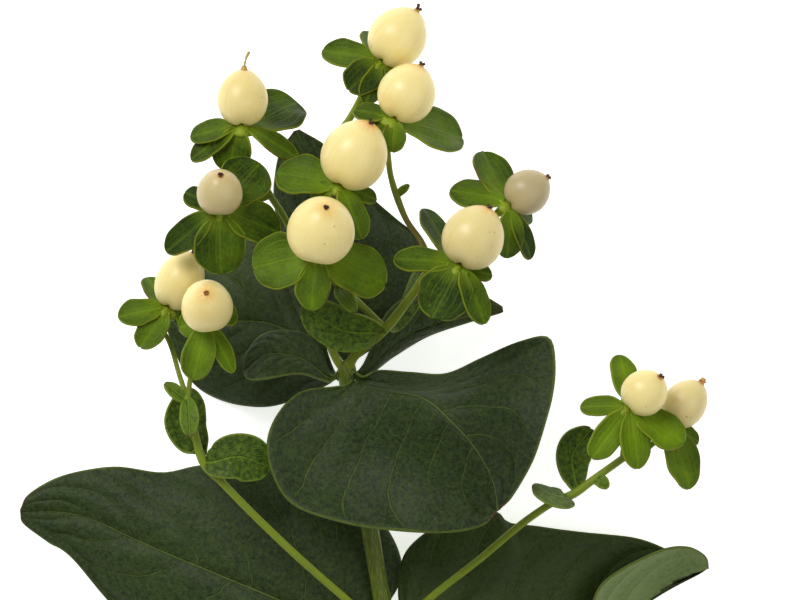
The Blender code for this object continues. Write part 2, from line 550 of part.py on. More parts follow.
def main():
    clear_scene()
    plant = new_collection("hypericum stem")
    paints = {name: new_material(name) for name in COLOURS}
    make_stem("stem", plant, paints["stem"])
    for name, leaf in LARGE_LEAVES.items():
        make_large_leaf(name, leaf, plant, paints["large leaf"])
    for name, leaf in SMALL_LEAVES.items():
        make_small_leaf(name, leaf, plant, paints["small leaf"])
    for number, berry in BERRIES.items():
        make_berry(number, berry, plant, paints["berry"])
        make_calyx(number, berry, plant, paints["calyx"])
    centre_on_base(plant)


main()
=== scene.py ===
"""Looks of the cut hypericum stem: finer leaves, calyces, berries and stems in place of the plain solids.

Lengths are in millimetres in the layout's own frame, until LAYOUT_SHIFT and MM turn them into the frame's
metres. The UV maps hold lengths as shares of MAP_UNIT.
"""

import math
from collections import namedtuple

import bpy
import numpy as np
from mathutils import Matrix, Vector


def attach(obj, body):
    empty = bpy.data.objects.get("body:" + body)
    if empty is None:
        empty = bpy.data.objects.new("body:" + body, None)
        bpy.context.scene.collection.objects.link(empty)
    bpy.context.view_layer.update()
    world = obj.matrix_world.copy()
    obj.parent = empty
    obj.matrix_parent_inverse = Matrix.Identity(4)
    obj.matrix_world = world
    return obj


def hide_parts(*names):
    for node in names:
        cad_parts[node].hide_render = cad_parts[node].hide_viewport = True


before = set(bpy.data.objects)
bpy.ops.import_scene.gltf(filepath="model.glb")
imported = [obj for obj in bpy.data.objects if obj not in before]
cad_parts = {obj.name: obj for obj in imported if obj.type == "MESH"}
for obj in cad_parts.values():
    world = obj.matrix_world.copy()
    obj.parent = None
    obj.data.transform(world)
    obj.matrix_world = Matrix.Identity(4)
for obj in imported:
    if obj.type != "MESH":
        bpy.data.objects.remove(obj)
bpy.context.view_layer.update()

MM = 0.001
LAYOUT_SHIFT = np.array([7.1859, 53.1849, 0.0])
MAP_UNIT = 100
UP = np.array([0.0, 0.0, 1.0])
RANDOM = np.random.default_rng(11)

Relief = namedtuple("Relief", "veins sweep bulge groove wave swell margin")
LargeLeaf = namedtuple("LargeLeaf", "shade arch rib left right")
SmallLeaf = namedtuple("SmallLeaf", "rib width faces")
Berry = namedtuple("Berry", "middle width length axis styles sepals")

# Rows, columns and sides of the meshes
LEAF_ROWS, LEAF_HALF_COLUMNS = 90, 26
SMALL_LEAF_ROWS, SMALL_LEAF_HALF_COLUMNS = 44, 12
SEPAL_ROWS, SEPAL_HALF_COLUMNS = 26, 7
ROW_CROWDING = 0.55
BERRY_SEGMENTS, BERRY_RINGS = 64, 44
CUSHION_SEGMENTS, CUSHION_RINGS = 40, 16
MAIN_STEM_SIDES, STEM_SIDES, NECK_SIDES, STYLE_SIDES = 32, 20, 20, 12
ROUTE_STEP, ROUTE_STEPS, STYLE_STEPS = 0.8, 30, 10

# Outline of a simple blade, as shares of its length and width: where it is widest and how blunt its tip is. A
# foot is the share of the width that the base keeps, and how fast the blade narrows to it.
OUTLINE_WIDEST, OUTLINE_TIP = 0.56, 0.1
SMALL_LEAF_FOOT = (0.22, 1.5)
SEPAL_FOOT = (0.42, 1.1)
BLADE_CUP, BLADE_ARCH = 0.14, -0.06

# Thickness, the width of a large leaf's foot, where its tip starts to close, and how uneven other edges are
LEAF_THICKNESS = 0.5
THIN_BLADE = 0.4
FOOT_WIDTH = 0.35
TIP_START = 0.93
SMALL_LEAF_RAGGED, SEPAL_RAGGED = 0.05, 0.07
RAGGED_PACES = (2, 3, 5, 8)
RAGGED_FALL = 0.7

# Relief of a blade in mm: side veins on each half, their sweep towards the tip, the height of the pillows
# between them, the depth of the groove along the rib, the size and height of the waves (for a sepal, for each
# mm of its width), and the least and greatest width of the pale margin
LARGE_LEAF_RELIEF = Relief(7, 0.34, 0.7, 0.6, 20, 0.7, (0.18, 0.72))
SMALL_LEAF_RELIEF = Relief(6, 0.4, 0.12, 0.12, 9, 0.14, (0.14, 0.56))
SEPAL_RELIEF = Relief(3, 0.6, 0.04, 0.12, 7, 0.05, (0.06, 0.56))
VEIN_CURVE, VEIN_STAGGER = 1.25, 0.35
SEPAL_VEINS = 7
PILLOW_LEVEL = 0.6
PILLOW_EDGE_FADE, PILLOW_RIB_FADE = 4, 2.5
GROOVE_WIDTH = 0.9
WAVES, WAVE_START, WAVE_SPREAD = 5, 5, (0.6, 1.4)
FULL_RELIEF_WIDTH = 8

# Calyx: its cushion and the set of its sepals, with the pitch in degrees
RECEPTACLE_RADIUS, RECEPTACLE_HEIGHT = 2.0, 1.5
BERRY_CLEARANCE = 0.5
CUSHION_RADIUS, CUSHION_RISE = 2.5, 1.9
CUSHION_RIDGES, CUSHION_RIDGE = 5, 0.06
SEPAL_SWEEP_LIMIT = 0.3
SEPAL_PITCH, SEPAL_TURN, SEPAL_ROOT = -8, 0.45, 0.84
SEPAL_HANG, SEPAL_RISE, SEPAL_CURL = 4, 1.25, 0.10
SEPAL_STATIONS = 4
STEEPEST_COSINE = 0.7

# Berry: its furrows, the dimple at its foot, its taper and the point at its tip
FURROWS, FURROW_DEPTH = 3, 0.1
DIMPLE_DEPTH, DIMPLE_REACH = 0.05, 0.09
BERRY_TAPER = 0.06
BERRY_POINT, BERRY_POINT_START = 0.2, 0.8
BERRY_FRONT = np.array([0.05, 0.1, 1.0])

# Neck at the tip: how far it stands out, by berry, where it bends, how deep it is sunk and its radii
BEAK = 0.35
BEAKS = {"10": 1.3, "03": 0.9, "08": 0.7, "09": 0.6, "07": 0.5}
NECK_BEND, NECK_SINK = 0.1, 0.35
NECK_RADII = (1.15, 0.8, 0.45)

# A style's stations: rise, rise for each millimetre of its length, the same two for its splay, and radius
STYLES = 3
STYLE_STATIONS = [(0, 0, 0, 0, 0.4), (0.3, 0.5, 0.05, 0.06, 0.32), (0.3, 0.9, 0.12, 0.3, 0.24)]
STYLE_SINK, STYLE_OFFSET, STYLE_TIP_RADIUS = 0.3, 0.16, 0.34
STYLE_LENGTHS = (0.6, 0.85)
STYLE_SIDE = (0.3, 0.2, 1)
BARE_TIPS, BARE_TIP_LENGTH = ("02",), 0.2
THREAD_LENGTH, THREAD_SLIMNESS = 0.72, 0.6
THREAD_TIP, THREAD_DARK_FROM = 1.5, 0.9

# Stems: how slim they are beside the solids, their two ridges, and how a stalk ends under its calyx
SLIMNESS = 0.68
SLIMNESS_BY_STEM = {"main": 0.97, "left": 0.76, "right": 0.64}
STEM_RIDGES, STEM_RIDGE = 2, 0.07
TUBE_SIDE = (0.31, 0.2, 1)
STALK_SHARE, STALK_FLARE = 0.9, 1.8
STALK_SINK, STALK_BEND = 0.25, 2.0
STALK_STATIONS = np.linspace(0.2, 1, 6)[:, None]
DOME_STATIONS = np.linspace(0.15, 1, 6)[:, None]
DOME_TURN = 1.5

# Shades from dark 0 to light 1, berries from ripe 0 to dull 1, and how orange and brown tips and stems are
SEPAL_SHADES = {"01": 0.6, "02": 0.65, "03": 0.25, "04": 0.25, "05": 0.5, "06": 0.4, "07": 0.45, "08": 0.22,
                "09": 0.8, "10": 0.65, "11": 0.2, "12": 0.22}
SEPAL_SHADE_SPREAD = 0.1
SMALL_LEAF_SHADE, BRACT_SHADE = 0.45, 0.95
MAIN_STEM_SHADE, SIDE_STEM_SHADE = 1.0, 0.4
BERRY_DULLNESS = {"04": 0.75, "12": 1.0, "11": 0.25, "10": 0.35, "03": 0.15}
BERRY_BLUSH = {"05": 0.5, "06": 1.0, "07": 0.9, "11": 0.9, "02": 0.75, "08": 0.25, "09": 0.35, "10": 0.5}
BLUSH = 0.3
STEM_BROWNS = {"top to 07": 0.8}
STEM_BROWN = 0.15

# Stage, in metres and watts: each lamp's place, size and power
FLOOR_SIZE, FLOOR_HEIGHT = 3, -0.0002
FLOOR_WHITE = (0.95, 0.95, 0.95)
FLOOR_GLOW, FLOOR_ROUGHNESS = 0.72, 0.9
WORLD_LIGHT = 0.3
LAMPS = {"key": ((-0.5, 0.6, 0.85), (0.45, 0.65), 8.6), "fill": ((0.6, -0.1, 0.9), (0.9, 0.9), 3.0)}
LAMP_TARGET = (0, 0.05, 0.02)
CAMERA_HEIGHT, CAMERA_CLIP = 2.027, 20
CAMERA_LENS, CAMERA_SENSOR = 450, 36

# Stems from foot to tip, as (x, y, height, radius). One whose name ends in a number goes on to that calyx.
STEM_ROUTES = {
    "main": [(3.4, -166, 2.1, 2.1), (3.0, -152, 3.0, 2.0), (1.6, -130, 5.0, 1.9), (0.4, -112, 6.8, 2.05),
        (0.0, -108, 7.2, 2.05), (-0.6, -92, 8.6, 1.8), (-2.0, -72, 10.6, 1.95), (-2.6, -66, 11.2, 2.0),
        (-4.2, -57, 12.6, 1.7), (-6.2, -45, 14.6, 1.75), (-8.4, -30, 17.2, 1.7), (-10.1, -18, 19.4, 1.9),
        (-10.7, -13.6, 20.2, 1.8)],
    "left": [(-2.6, -68, 11.2, 1.3), (-5.6, -65, 14.4, 1.2), (-11, -60, 17, 1.0), (-20, -52, 20, 1.0),
        (-29, -43.4, 22, 1.0), (-35.4, -36.8, 23.4, 1.0), (-39.4, -32.4, 24, 1.2), (-41.2, -26, 24.8, 0.9),
        (-42.6, -19.8, 26, 1.0)],
    "left to 01": [(-42.4, -20.2, 26, 0.8), (-44.2, -15, 24.4, 0.7), (-46, -9, 22.6, 0.7)],
    "left to 02": [(-42.5, -20, 26, 0.8), (-41.8, -15, 26.6, 0.7), (-40, -9, 27.2, 0.7)],
    "right": [(-2.2, -68, 11.2, 1.4), (1.4, -65, 14.2, 1.3), (6, -60, 16, 1.1), (16, -52, 19.5, 1.1),
        (24, -45.2, 22, 1.1), (30.6, -40.6, 23.4, 1.1), (34.8, -38.8, 24, 1.3), (40, -35, 25, 1.1),
        (45, -31.4, 26, 1.1)],
    "right to 09": [(44.6, -31.6, 26, 0.9), (44.8, -27.6, 25.4, 0.8)],
    "right to 10": [(44.6, -31.6, 26, 0.9), (49.6, -29.6, 23.6, 0.8)],
    "top left": [(-10.7, -14.6, 20, 1.3), (-12.8, -11.8, 20.2, 1.2), (-15, -7, 19.4, 1.0),
        (-18.6, 2, 18.4, 1.0), (-22, 14, 20.4, 1.0), (-26.4, 21.6, 23.6, 1.0)],
    "top left to 03": [(-26, 21, 23.4, 0.9), (-30.4, 26.4, 24.6, 0.8)],
    "top left to 04": [(-26, 21, 23.4, 0.9), (-31.6, 18.4, 26, 0.8)],
    "top": [(-10.7, -14.4, 20.2, 1.6), (-9.4, -11.6, 22, 1.4), (-7.0, -9.4, 23.6, 1.25),
        (-3, -5.8, 26, 1.4), (1.8, 0.2, 29, 1.25), (6.0, 6.4, 32, 1.3)],
    "centre": [(-3, -5.8, 26, 1.2), (-8.4, -0.4, 27.2, 1.0), (-12.2, 3.4, 29.4, 1.0),
        (-13.2, 12, 29.6, 1.0)],
    "centre to 05": [(-12, 3, 29.4, 1.0), (-15.2, 5, 33.4, 0.9)],
    "centre to 06": [(-13.2, 11.4, 29.6, 1.0), (-13.8, 15.6, 32, 0.9)],
    "centre to 08": [(-13.2, 11.4, 29.6, 1.0), (-15.6, 21, 23.6, 0.9), (-14.4, 30, 20.4, 0.9),
        (-10, 36.6, 19.8, 1.0), (-7.6, 41, 20.8, 1.0)],
    "top to 07": [(6, 6.4, 32, 1.2), (4.4, 11.4, 28.8, 0.9), (1.4, 15.8, 28.2, 0.85),
        (-0.6, 20.6, 28.6, 1.0), (-1.9, 25, 28.6, 0.85), (-2.4, 29, 28.6, 0.85)],
    "top to 11": [(5.6, 5.6, 31.8, 1.2), (8.6, 4.0, 33.6, 1.0)],
    "top to 12": [(5.8, 6, 32, 1.1), (11.6, 10.4, 29.6, 0.9), (15.6, 14.2, 30.6, 0.9)],
}

# A large leaf is its shade from dark 0 to light 1, how far each half arches, its rib and its two edges, from
# the base to the tip, as (x, y, height). The lower right leaf's shade is partly painted light: it is set
# lighter to stand in for the key lamp's light, which that leaf slopes away from.
LARGE_LEAVES = {
    "leaf_lower_left": LargeLeaf(0.45, 0.10,
        rib=[(-5.6, -68.4, 9.4), (-28, -59, 9.6), (-49.4, -50.2, 5.6), (-64.8, -43.6, 1.6),
         (-76.6, -42.8, 0)],
        left=[(-6.2, -70.6, 8.8), (-18, -84, 4), (-36, -82, 0.6), (-52, -68.6, -0.9), (-66, -53, -0.9),
         (-71.6, -49.2, -0.6), (-76.4, -45.4, -0.4), (-77, -43.2, 0)],
        right=[(-5.2, -65.8, 8.6), (0.2, -55.4, 5.6), (-3.6, -44.8, 5.2), (-14, -36.6, 5), (-28, -33, 4.4),
         (-40, -33.4, 3.4), (-48, -34.9, 2.6), (-58, -33.7, 2.2), (-68, -35.4, 1.4), (-75, -39.2, 0.8),
         (-77, -42.4, 0.6)]),
    # Painted light: a lighter shade than the leaf's own tone, in place of the key lamp's light that it slopes
    # away from
    "leaf_lower_right": LargeLeaf(0.85, 0.08,
        rib=[(0.9, -69.6, 10), (14, -73.6, 9.2), (30, -72.4, 5), (43, -66.2, 1), (53, -59.6, -0.6),
         (62.2, -54.8, 0)],
        left=[(1.2, -66.6, 9.6), (-0.2, -59, 8.4), (1.2, -51, 8), (8, -45.2, 8), (15, -42.6, 7.4),
         (19.6, -42.6, 7), (21.8, -45, 6.4), (28, -45.8, 6), (37, -47, 4.4), (48, -48.2, 2.6),
         (56, -51.4, 1), (62.4, -54.2, 0)],
        right=[(1.0, -72.6, 9.2), (10, -86, 3.4), (24, -88, 2.4), (34, -80, 5.6), (38, -68, 11.6),
         (39.6, -59, 13.4), (45, -54.2, 12), (52.4, -50.6, 9.6), (58, -50.4, 6.4), (62, -52.4, 2.4),
         (62.6, -54.4, 0.2)]),
    "leaf_front": LargeLeaf(0.35, 0.16,
        rib=[(-8.6, -16.2, 23.6), (-3, -17.9, 29.4), (4.6, -19.6, 35), (10, -24, 38), (15, -29.6, 38.4),
         (18.4, -36, 36.6), (19.4, -41.4, 33.6)],
        left=[(-10.2, -16.8, 23.6), (-20, -18.4, 24.6), (-25.6, -24.6, 26), (-26.4, -32, 27.6),
         (-22, -40.2, 30), (-12, -44.2, 32.6), (0, -46, 34.6), (9.6, -46.3, 34.6), (16.4, -45, 33.6),
         (19.2, -42.2, 33.4)],
        right=[(-7.4, -15.4, 23.4), (-4, -14, 19.6), (2, -14.4, 18.6), (9, -14.6, 22.6), (16, -11.6, 26.4),
         (24, -8.2, 29), (29.6, -7.4, 30.4), (30.9, -12.4, 31.6), (30, -21, 32.6), (27, -31, 33),
         (22.6, -39, 33.2), (19.8, -41.8, 33.4)]),
    "leaf_fold": LargeLeaf(0.4, 0.12,
        rib=[(-14, -15.6, 21.8), (-20, -11.6, 24), (-27, -11, 26), (-31, -14, 26.6)],
        left=[(-13.9, -16.5, 22.2), (-20, -14.8, 27), (-26.6, -15.8, 29.4), (-30, -16, 28.4),
         (-31.2, -14.6, 26.8)],
        right=[(-14, -14.8, 21.4), (-16.8, -8.6, 20), (-22, -6.3, 21), (-27.6, -7, 23),
         (-30.8, -10.8, 25.6), (-31.2, -13.6, 26.4)]),
    "leaf_back_left": LargeLeaf(0.6, 0.10,
        rib=[(-13.4, -15.4, 16.8), (-19, -8.4, 12.6), (-27, -4.6, 7), (-38, -3.8, 2.4), (-48.6, 1, 0)],
        left=[(-13.8, -16.6, 16), (-21, -20, 9), (-28, -21.4, 4.8), (-36, -20.2, 1.4), (-42.4, -16, -0.6),
         (-46.6, -8, -0.6), (-48.8, 0.4, -0.2)],
        right=[(-13.2, -14.2, 16.4), (-16.8, -3, 12.6), (-20.8, 6, 8), (-28, 12.2, 3.4), (-37, 12, 0.6),
         (-45.6, 7.6, -0.4), (-49, 1.6, 0)]),
    "leaf_back_right": LargeLeaf(0.6, 0.10,
        rib=[(-7.2, -14.4, 18.6), (0.6, -7.8, 14.6), (10, -4.2, 10), (20.6, -1.9, 6.4)],
        left=[(-7.6, -13.2, 18.2), (-2.4, -2.4, 13.4), (5, 2.2, 9.6), (13, 2.6, 7.2), (20.6, -1.4, 6.2)],
        right=[(-6.8, -15.4, 18), (-1.4, -11.2, 13.6), (5, -7.4, 10.2), (12, -4.9, 8), (20.8, -2.4, 6.2)]),
    "leaf_back_top": LargeLeaf(0.5, 0.10,
        rib=[(-10.4, -12.4, 15.4), (-11, 0, 10), (-13.6, 14, 5), (-17.6, 26, 1), (-21, 34.4, 0)],
        left=[(-11.4, -12.4, 15), (-17.2, -3, 8.2), (-22.6, 8, 4.2), (-25.4, 19, 0.8), (-24.6, 29, -0.6),
         (-21.6, 34.2, -0.2)],
        right=[(-9.4, -12.4, 15.2), (0.6, -5, 7.6), (6.4, 3, 2.4), (5.4, 11.2, -0.4), (-0.6, 16.4, -0.8),
         (-7, 22.4, -0.8), (-14.4, 30.6, -0.6), (-20.4, 34.6, -0.2)]),
}

# A small leaf is its rib from base to tip, its width and the way that its upper face looks.
SMALL_LEAVES = {
    "leaf_left_upper": SmallLeaf([(-40.4, -30.2, 22.6), (-43, -25, 20.6), (-42.2, -17.6, 21)],
        8.4, (0.25, 0.1, 1)),
    "leaf_left_lower": SmallLeaf([(-37.2, -32.4, 26), (-32, -31.4, 26), (-25.8, -33.6, 23.4)],
        9.6, (0, 0.1, 1)),
    "leaf_right_lower": SmallLeaf([(33.2, -39.8, 26.6), (30, -38.9, 27.4), (26.6, -37, 26.6)],
        5.6, (-0.5, -0.8, -0.7)),
    "leaf_right_upper": SmallLeaf([(35.2, -36.6, 23.2), (34.6, -31, 21.6), (38.4, -25.8, 21)],
        7.4, (0.4, 0.2, 1)),
    "leaf_top_left": SmallLeaf([(-5, -6.6, 27.6), (-12, -5.8, 29.6), (-19.4, -0.8, 29.4)],
        9.4, (0.1, -0.5, 1)),
    "leaf_top_right": SmallLeaf([(-0.8, -4.8, 23.8), (2.2, 0.2, 24), (3.6, 6.0, 23.6)],
        5, (0.7, -0.4, 0.8)),
}

# Bracts are tiny leaves that grow from a stem, in the same form as small leaves.
BRACTS = {
    "left outer bract": SmallLeaf([(-42.4, -20.2, 26), (-44.6, -18.6, 27), (-47, -16.6, 27)],
        3, (0.3, 0.4, 1)),
    "left inner bract": SmallLeaf([(-42.4, -19.6, 26.4), (-42.2, -23, 28.4), (-42, -27.2, 28.6)],
        3.8, (0, -0.1, 1)),
    "right bract": SmallLeaf([(38.8, -36, 25), (40.2, -36.2, 26), (41.6, -37.6, 26)], 2.6, (0, 0.3, 1)),
    "centre bract": SmallLeaf([(-12.2, 2.6, 30), (-11, 0.6, 33.4), (-8.8, -2.4, 34.4)], 3.4, (0.1, 0.1, 1)),
    "top bract": SmallLeaf([(-0.8, 20.6, 28.6), (0.2, 21.6, 28.9), (1.8, 23, 29.2)], 1.6, (0.3, -0.3, 1)),
}

# A berry is the point at its middle, its width, its length, the way that its tip points and the length of its
# styles. Its sepals are (bearing in degrees, reach, width[, pitch in degrees]), seen from above.
BERRIES = {
    "01": Berry((-44, 3.8, 27), 9.6, 12.4, (0.42, 0.87, 0.25), 1.3,
          [(190, 10, 6, 8), (236, 9.6, 6.2, 12), (118, 8, 5), (62, 5, 4), (-50, 6, 4, -40)]),
    "02": Berry((-38.4, -1.2, 37.6), 10.4, 12.4, (0, 0.4, 0.92), 0.7,
          [(256, 12.4, 6.8, 10), (296, 12, 3.6, 0), (12, 6, 5), (80, 5, 5), (196, 6, 5)]),
    "03": Berry((-31.4, 40.2, 31), 10.2, 11.4, (0.05, 0.97, 0.2), 0,
          [(190, 10.4, 5.4), (213, 12, 5), (254, 9.4, 8, -10), (-28, 13, 4.6), (30, 13, 12, -22)]),
    "04": Berry((-35.8, 21.4, 41.8), 9.2, 9.8, (0.05, 0.65, 0.75), 0.8,
          [(218, 13.6, 6), (272, 13, 10.2), (-20, 13.2, 8.4), (50, 12.6, 10.4), (152, 7.6, 5)]),
    "05": Berry((-15.6, 13.8, 47.5), 13.6, 14.2, (0.14, 0.6, 0.78), 0.9,
          [(192, 13, 11.6), (265, 11.6, 6.8, 4), (-23, 15.2, 10.4), (60, 6, 6), (125, 7, 6)]),
    "06": Berry((-9, 28.8, 40), 13.2, 14.4, (0.42, 0.83, 0.36), 1.4,
          [(167, 12.8, 9.4), (-66, 11.6, 6.4, 14), (204, 6, 4.6), (-19, 8, 3.8), (96, 7, 6)]),
    "07": Berry((1.4, 41.2, 33), 11.6, 12, (0.44, 0.88, 0.15), 1.4,
          [(-8, 15, 10.4, -34), (165, 8, 5.2, -14), (266, 6.6, 5, 14), (68, 6, 5), (216, 6, 4.6, -20)]),
    "08": Berry((-0.4, 52.6, 26), 11.6, 12.6, (0.57, 0.8, 0.15), 2.0,
          [(168, 11.8, 6.8), (104, 8.4, 5), (222, 8.6, 7.6, 20), (250, 9, 5, 20), (-50, 6, 4.6)]),
    "09": Berry((48.8, -18.4, 32.5), 9.2, 9.6, (0.6, 0.6, 0.5), 1.1,
          [(97, 11, 5.6), (180, 9.8, 4.4), (233, 12.8, 6, 10), (-81, 12.4, 6.6, 12), (-30, 12.8, 8, 8)]),
    "10": Berry((57, -20.8, 24.6), 8.8, 10.4, (0.6, 0.78, 0.1), 1.3,
          [(-72, 13.6, 7.6, 4), (97, 10, 4.4), (190, 5, 4, -34), (20, 5, 4, -40), (-24, 7, 4)]),
    "11": Berry((14.6, 12.4, 41), 12.4, 13, (0.45, 0.87, 0.2), 1.2,
          [(116, 14.6, 5.2), (172, 13, 6, 2), (243, 11.8, 11, 15), (-65, 12.6, 6, 12), (-12, 7, 4)]),
    "12": Berry((25.4, 21.6, 33.6), 9, 9.4, (0.8, 0.58, 0.15), 1.1,
          [(112, 12.4, 8.4, -24), (166, 12, 6.6), (268, 10.6, 6.4, 4), (-66, 11.6, 4.6), (-20, 6, 4)]),
}
# One berry keeps a whole style: a thread from its tip, as (x, y, height, radius).
STYLE_THREAD_03 = [(-31.2, 44.6, 32, 0.55), (-31.0, 47.4, 32.4, 0.4), (-30.4, 50, 32.4, 0.32),
                   (-29.6, 51.4, 32.2, 0.32)]


def unit(vector):
    vector = np.asarray(vector, float)
    return vector / np.linalg.norm(vector)


def crowded(count, crowding):
    """count + 1 shares from 0 to 1, evenly spaced or crowded to both ends."""
    even = np.linspace(0, 1, count + 1)
    return even - crowding * np.sin(math.tau * even) / math.tau


def smooth_curve(points, count, crowding=0.0):
    """count + 1 points on a Catmull-Rom curve through the given points."""
    points = np.asarray(points, float)
    ends = np.vstack([2 * points[0] - points[1], points, 2 * points[-1] - points[-2]])
    chords = np.linalg.norm(np.diff(points[:, :3], axis=0), axis=1)
    marks = np.concatenate([[0], np.cumsum(chords)])
    wanted = marks[-1] * crowded(count, crowding)
    spans = np.clip(np.searchsorted(marks, wanted, side="right") - 1, 0, len(chords) - 1)
    t = ((wanted - marks[spans]) / chords[spans])[:, None]
    a, b, c, d = (ends[spans + step] for step in range(4))
    return 0.5 * (2 * b + (c - a) * t + (2 * a - 5 * b + 4 * c - d) * t**2 + (3 * b - a - 3 * c + d) * t**3)


def fine_route(route):
    """A stem's route as a smooth curve with a point about every ROUTE_STEP."""
    length = sum(math.dist(a[:3], b[:3]) for a, b in zip(route, route[1:]))
    return smooth_curve(route, max(6, round(length / ROUTE_STEP)))


def units(rows):
    return rows / np.linalg.norm(rows, axis=1, keepdims=True)


def tangents(curve):
    return units(np.gradient(curve[:, :3], axis=0))


def across_axis(way, axis):
    """The part of a way that is square to an axis."""
    return way - (way @ axis) * axis


class Surfaces:
    """Surfaces gathered for one object: their points, faces, UV maps and material slots."""

    def __init__(self):
        self.points, self.faces, self.slots = [], [], []
        self.maps = {}
        self.count = 0

    def add(self, points, faces, maps, slots=0):
        """slots is one material slot for all the faces or a list with one for each."""
        self.points.append(points.reshape(-1, 3))
        self.faces += [tuple(int(corner) + self.count for corner in face) for face in faces]
        for name, values in maps.items():
            self.maps.setdefault(name, []).append(values)
        self.slots += np.broadcast_to(slots, len(faces)).tolist()
        self.count += points.size // 3
        return self

    def make(self, name, materials):
        """A smooth-shaded object in the frame's metres, on the one body."""
        mesh = bpy.data.meshes.new(name)
        mesh.from_pydata(((np.vstack(self.points) + LAYOUT_SHIFT) * MM).tolist(), [], self.faces)
        corners = np.empty(len(mesh.loops), dtype=np.int64)
        mesh.loops.foreach_get("vertex_index", corners)
        for map_name, values in self.maps.items():
            layer = mesh.uv_layers.new(name=map_name)
            layer.uv.foreach_set("vector", np.vstack(values).astype(np.float32)[corners].ravel())
        for material in materials:
            mesh.materials.append(material)
        mesh.polygons.foreach_set("material_index", np.array(self.slots, dtype=np.int32))
        mesh.shade_smooth()
        made = bpy.data.objects.new(name, mesh)
        bpy.context.scene.collection.objects.link(made)
        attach(made, "root")
        return made


def grid_faces(rows, columns):
    row, column = np.meshgrid(np.arange(rows), np.arange(columns), indexing="ij")
    corner = (row * (columns + 1) + column).ravel()
    return np.stack([corner, corner + columns + 1, corner + columns + 2, corner + 1], axis=1)


def blade_grid(rib, left, right, arch, half_columns):
    """Rows of points from the left edge over the rib to the right edge. Each half bulges by arch times its
    width."""
    up = units(np.cross(right - left, tangents(rib)))
    columns = []
    for share in np.linspace(-1, 1, 2 * half_columns + 1):
        edge = left if share < 0 else right
        width = np.linalg.norm(edge - rib, axis=1, keepdims=True)
        bulge = arch * width * 4 * abs(share) * (1 - abs(share))
        columns.append(rib + abs(share) * (edge - rib) + up * bulge)
    return np.stack(columns, axis=1)


def outline_share(along, foot):
    """Half-width of an ovate blade, as a share of the widest, from its base at 0 to its tip at 1."""
    kept, pace = foot
    reach = np.where(along < OUTLINE_WIDEST, OUTLINE_WIDEST, 1 - OUTLINE_WIDEST)
    rounded = np.sqrt(np.clip(1 - ((along - OUTLINE_WIDEST) / reach) ** 2, 0, 1))
    return np.where(along < OUTLINE_WIDEST, np.maximum(rounded**pace, kept), np.maximum(rounded, OUTLINE_TIP))


def simple_blade_grid(rib_points, width, faces, rows, half_columns, foot):
    """A blade whose edges keep an even distance from its rib, dished towards the side that it faces."""
    rib = smooth_curve(rib_points, rows, ROW_CROWDING)
    way = tangents(rib)
    side = units(np.cross(way, unit(faces)))
    up = np.cross(side, way)
    half = (width / 2 * outline_share(crowded(rows, ROW_CROWDING), foot))[:, None]
    left = rib - side * half + up * BLADE_CUP * half
    right = rib + side * half + up * BLADE_CUP * half
    return blade_grid(rib, left, right, BLADE_ARCH, half_columns)


def blade_maps(points, shade):
    """Maps for a blade's shader: place along and across, distances to rib and edge, shade and length."""
    rows, columns = points.shape[0] - 1, points.shape[1] - 1
    rib = points[:, columns // 2]
    steps = np.linalg.norm(np.diff(rib, axis=0), axis=1)
    run = np.concatenate([[0], np.cumsum(steps)])
    along = np.repeat((run / run[-1])[:, None], columns + 1, axis=1)
    across = np.repeat(np.linspace(0, 1, columns + 1)[None], rows + 1, axis=0)
    from_rib = np.linalg.norm(points - rib[:, None], axis=2)
    half = np.where(across < 0.5, from_rib[:, :1], from_rib[:, -1:])
    to_edge = np.maximum(half - from_rib, 0)
    pairs = {
        "blade": (along, across),
        "reach": (from_rib / MAP_UNIT, to_edge / MAP_UNIT),
        "kind": (np.full(along.shape, shade), np.full(along.shape, run[-1] / MAP_UNIT)),
    }
    return {name: np.stack(pair, axis=2).reshape(-1, 2) for name, pair in pairs.items()}


def map_grids(maps, name, shape):
    """The two numbers of a blade's map, each as a grid of its rows and columns."""
    return maps[name].reshape(*shape, 2).transpose(2, 0, 1)


def normals_of(points):
    down = np.gradient(points, axis=0)
    over = np.gradient(points, axis=1)
    normal = np.cross(over, down)
    return normal / np.maximum(np.linalg.norm(normal, axis=2, keepdims=True), 1e-9)


def upper_side(points, upper_way):
    """1 where the grid's own normals look the upper way, otherwise -1."""
    return math.copysign(1, float(normals_of(points).mean(axis=(0, 1)) @ np.asarray(upper_way, float)))


def turned_faces(points, upper_way):
    """A blade's faces, ordered so that their normals look the way that the blade's upper side does."""
    faces = grid_faces(points.shape[0] - 1, points.shape[1] - 1)
    return faces[:, ::-1] if upper_side(points, upper_way) > 0 else faces


def raised(points, upper_way, relief):
    return points + normals_of(points) * upper_side(points, upper_way) * relief[..., None]


def vein_height(maps, shape, form, fineness=1.0):
    """Relief in millimetres: pillows between the side veins, and a groove along the rib."""
    along, across = map_grids(maps, "blade", shape)
    from_rib, to_edge = map_grids(maps, "reach", shape) * MAP_UNIT
    share = np.abs(across * 2 - 1)
    phase = (along - form.sweep * share**VEIN_CURVE) * form.veins + VEIN_STAGGER * (across > 0.5)
    pillow = np.sqrt(np.abs(np.sin(math.pi * phase))) - PILLOW_LEVEL
    fade = np.clip(to_edge / PILLOW_EDGE_FADE, 0, 1) * np.clip(from_rib / PILLOW_RIB_FADE, 0, 1)
    groove = form.groove * np.exp(-((from_rib / GROOVE_WIDTH) ** 2)) * (1 - along)
    return form.bulge * fineness * pillow * fade - groove


def wave(points, size, height, seed):
    """A gentle waviness of a sheet, in millimetres."""
    draw = np.random.default_rng(seed)
    total = np.zeros(points.shape[:2])
    for _ in range(WAVES):
        way = draw.normal(size=3)
        way *= math.tau / size / np.linalg.norm(way) * draw.uniform(*WAVE_SPREAD)
        total += np.sin(points @ way + draw.uniform(0, math.tau)) / WAVES
    return height * total


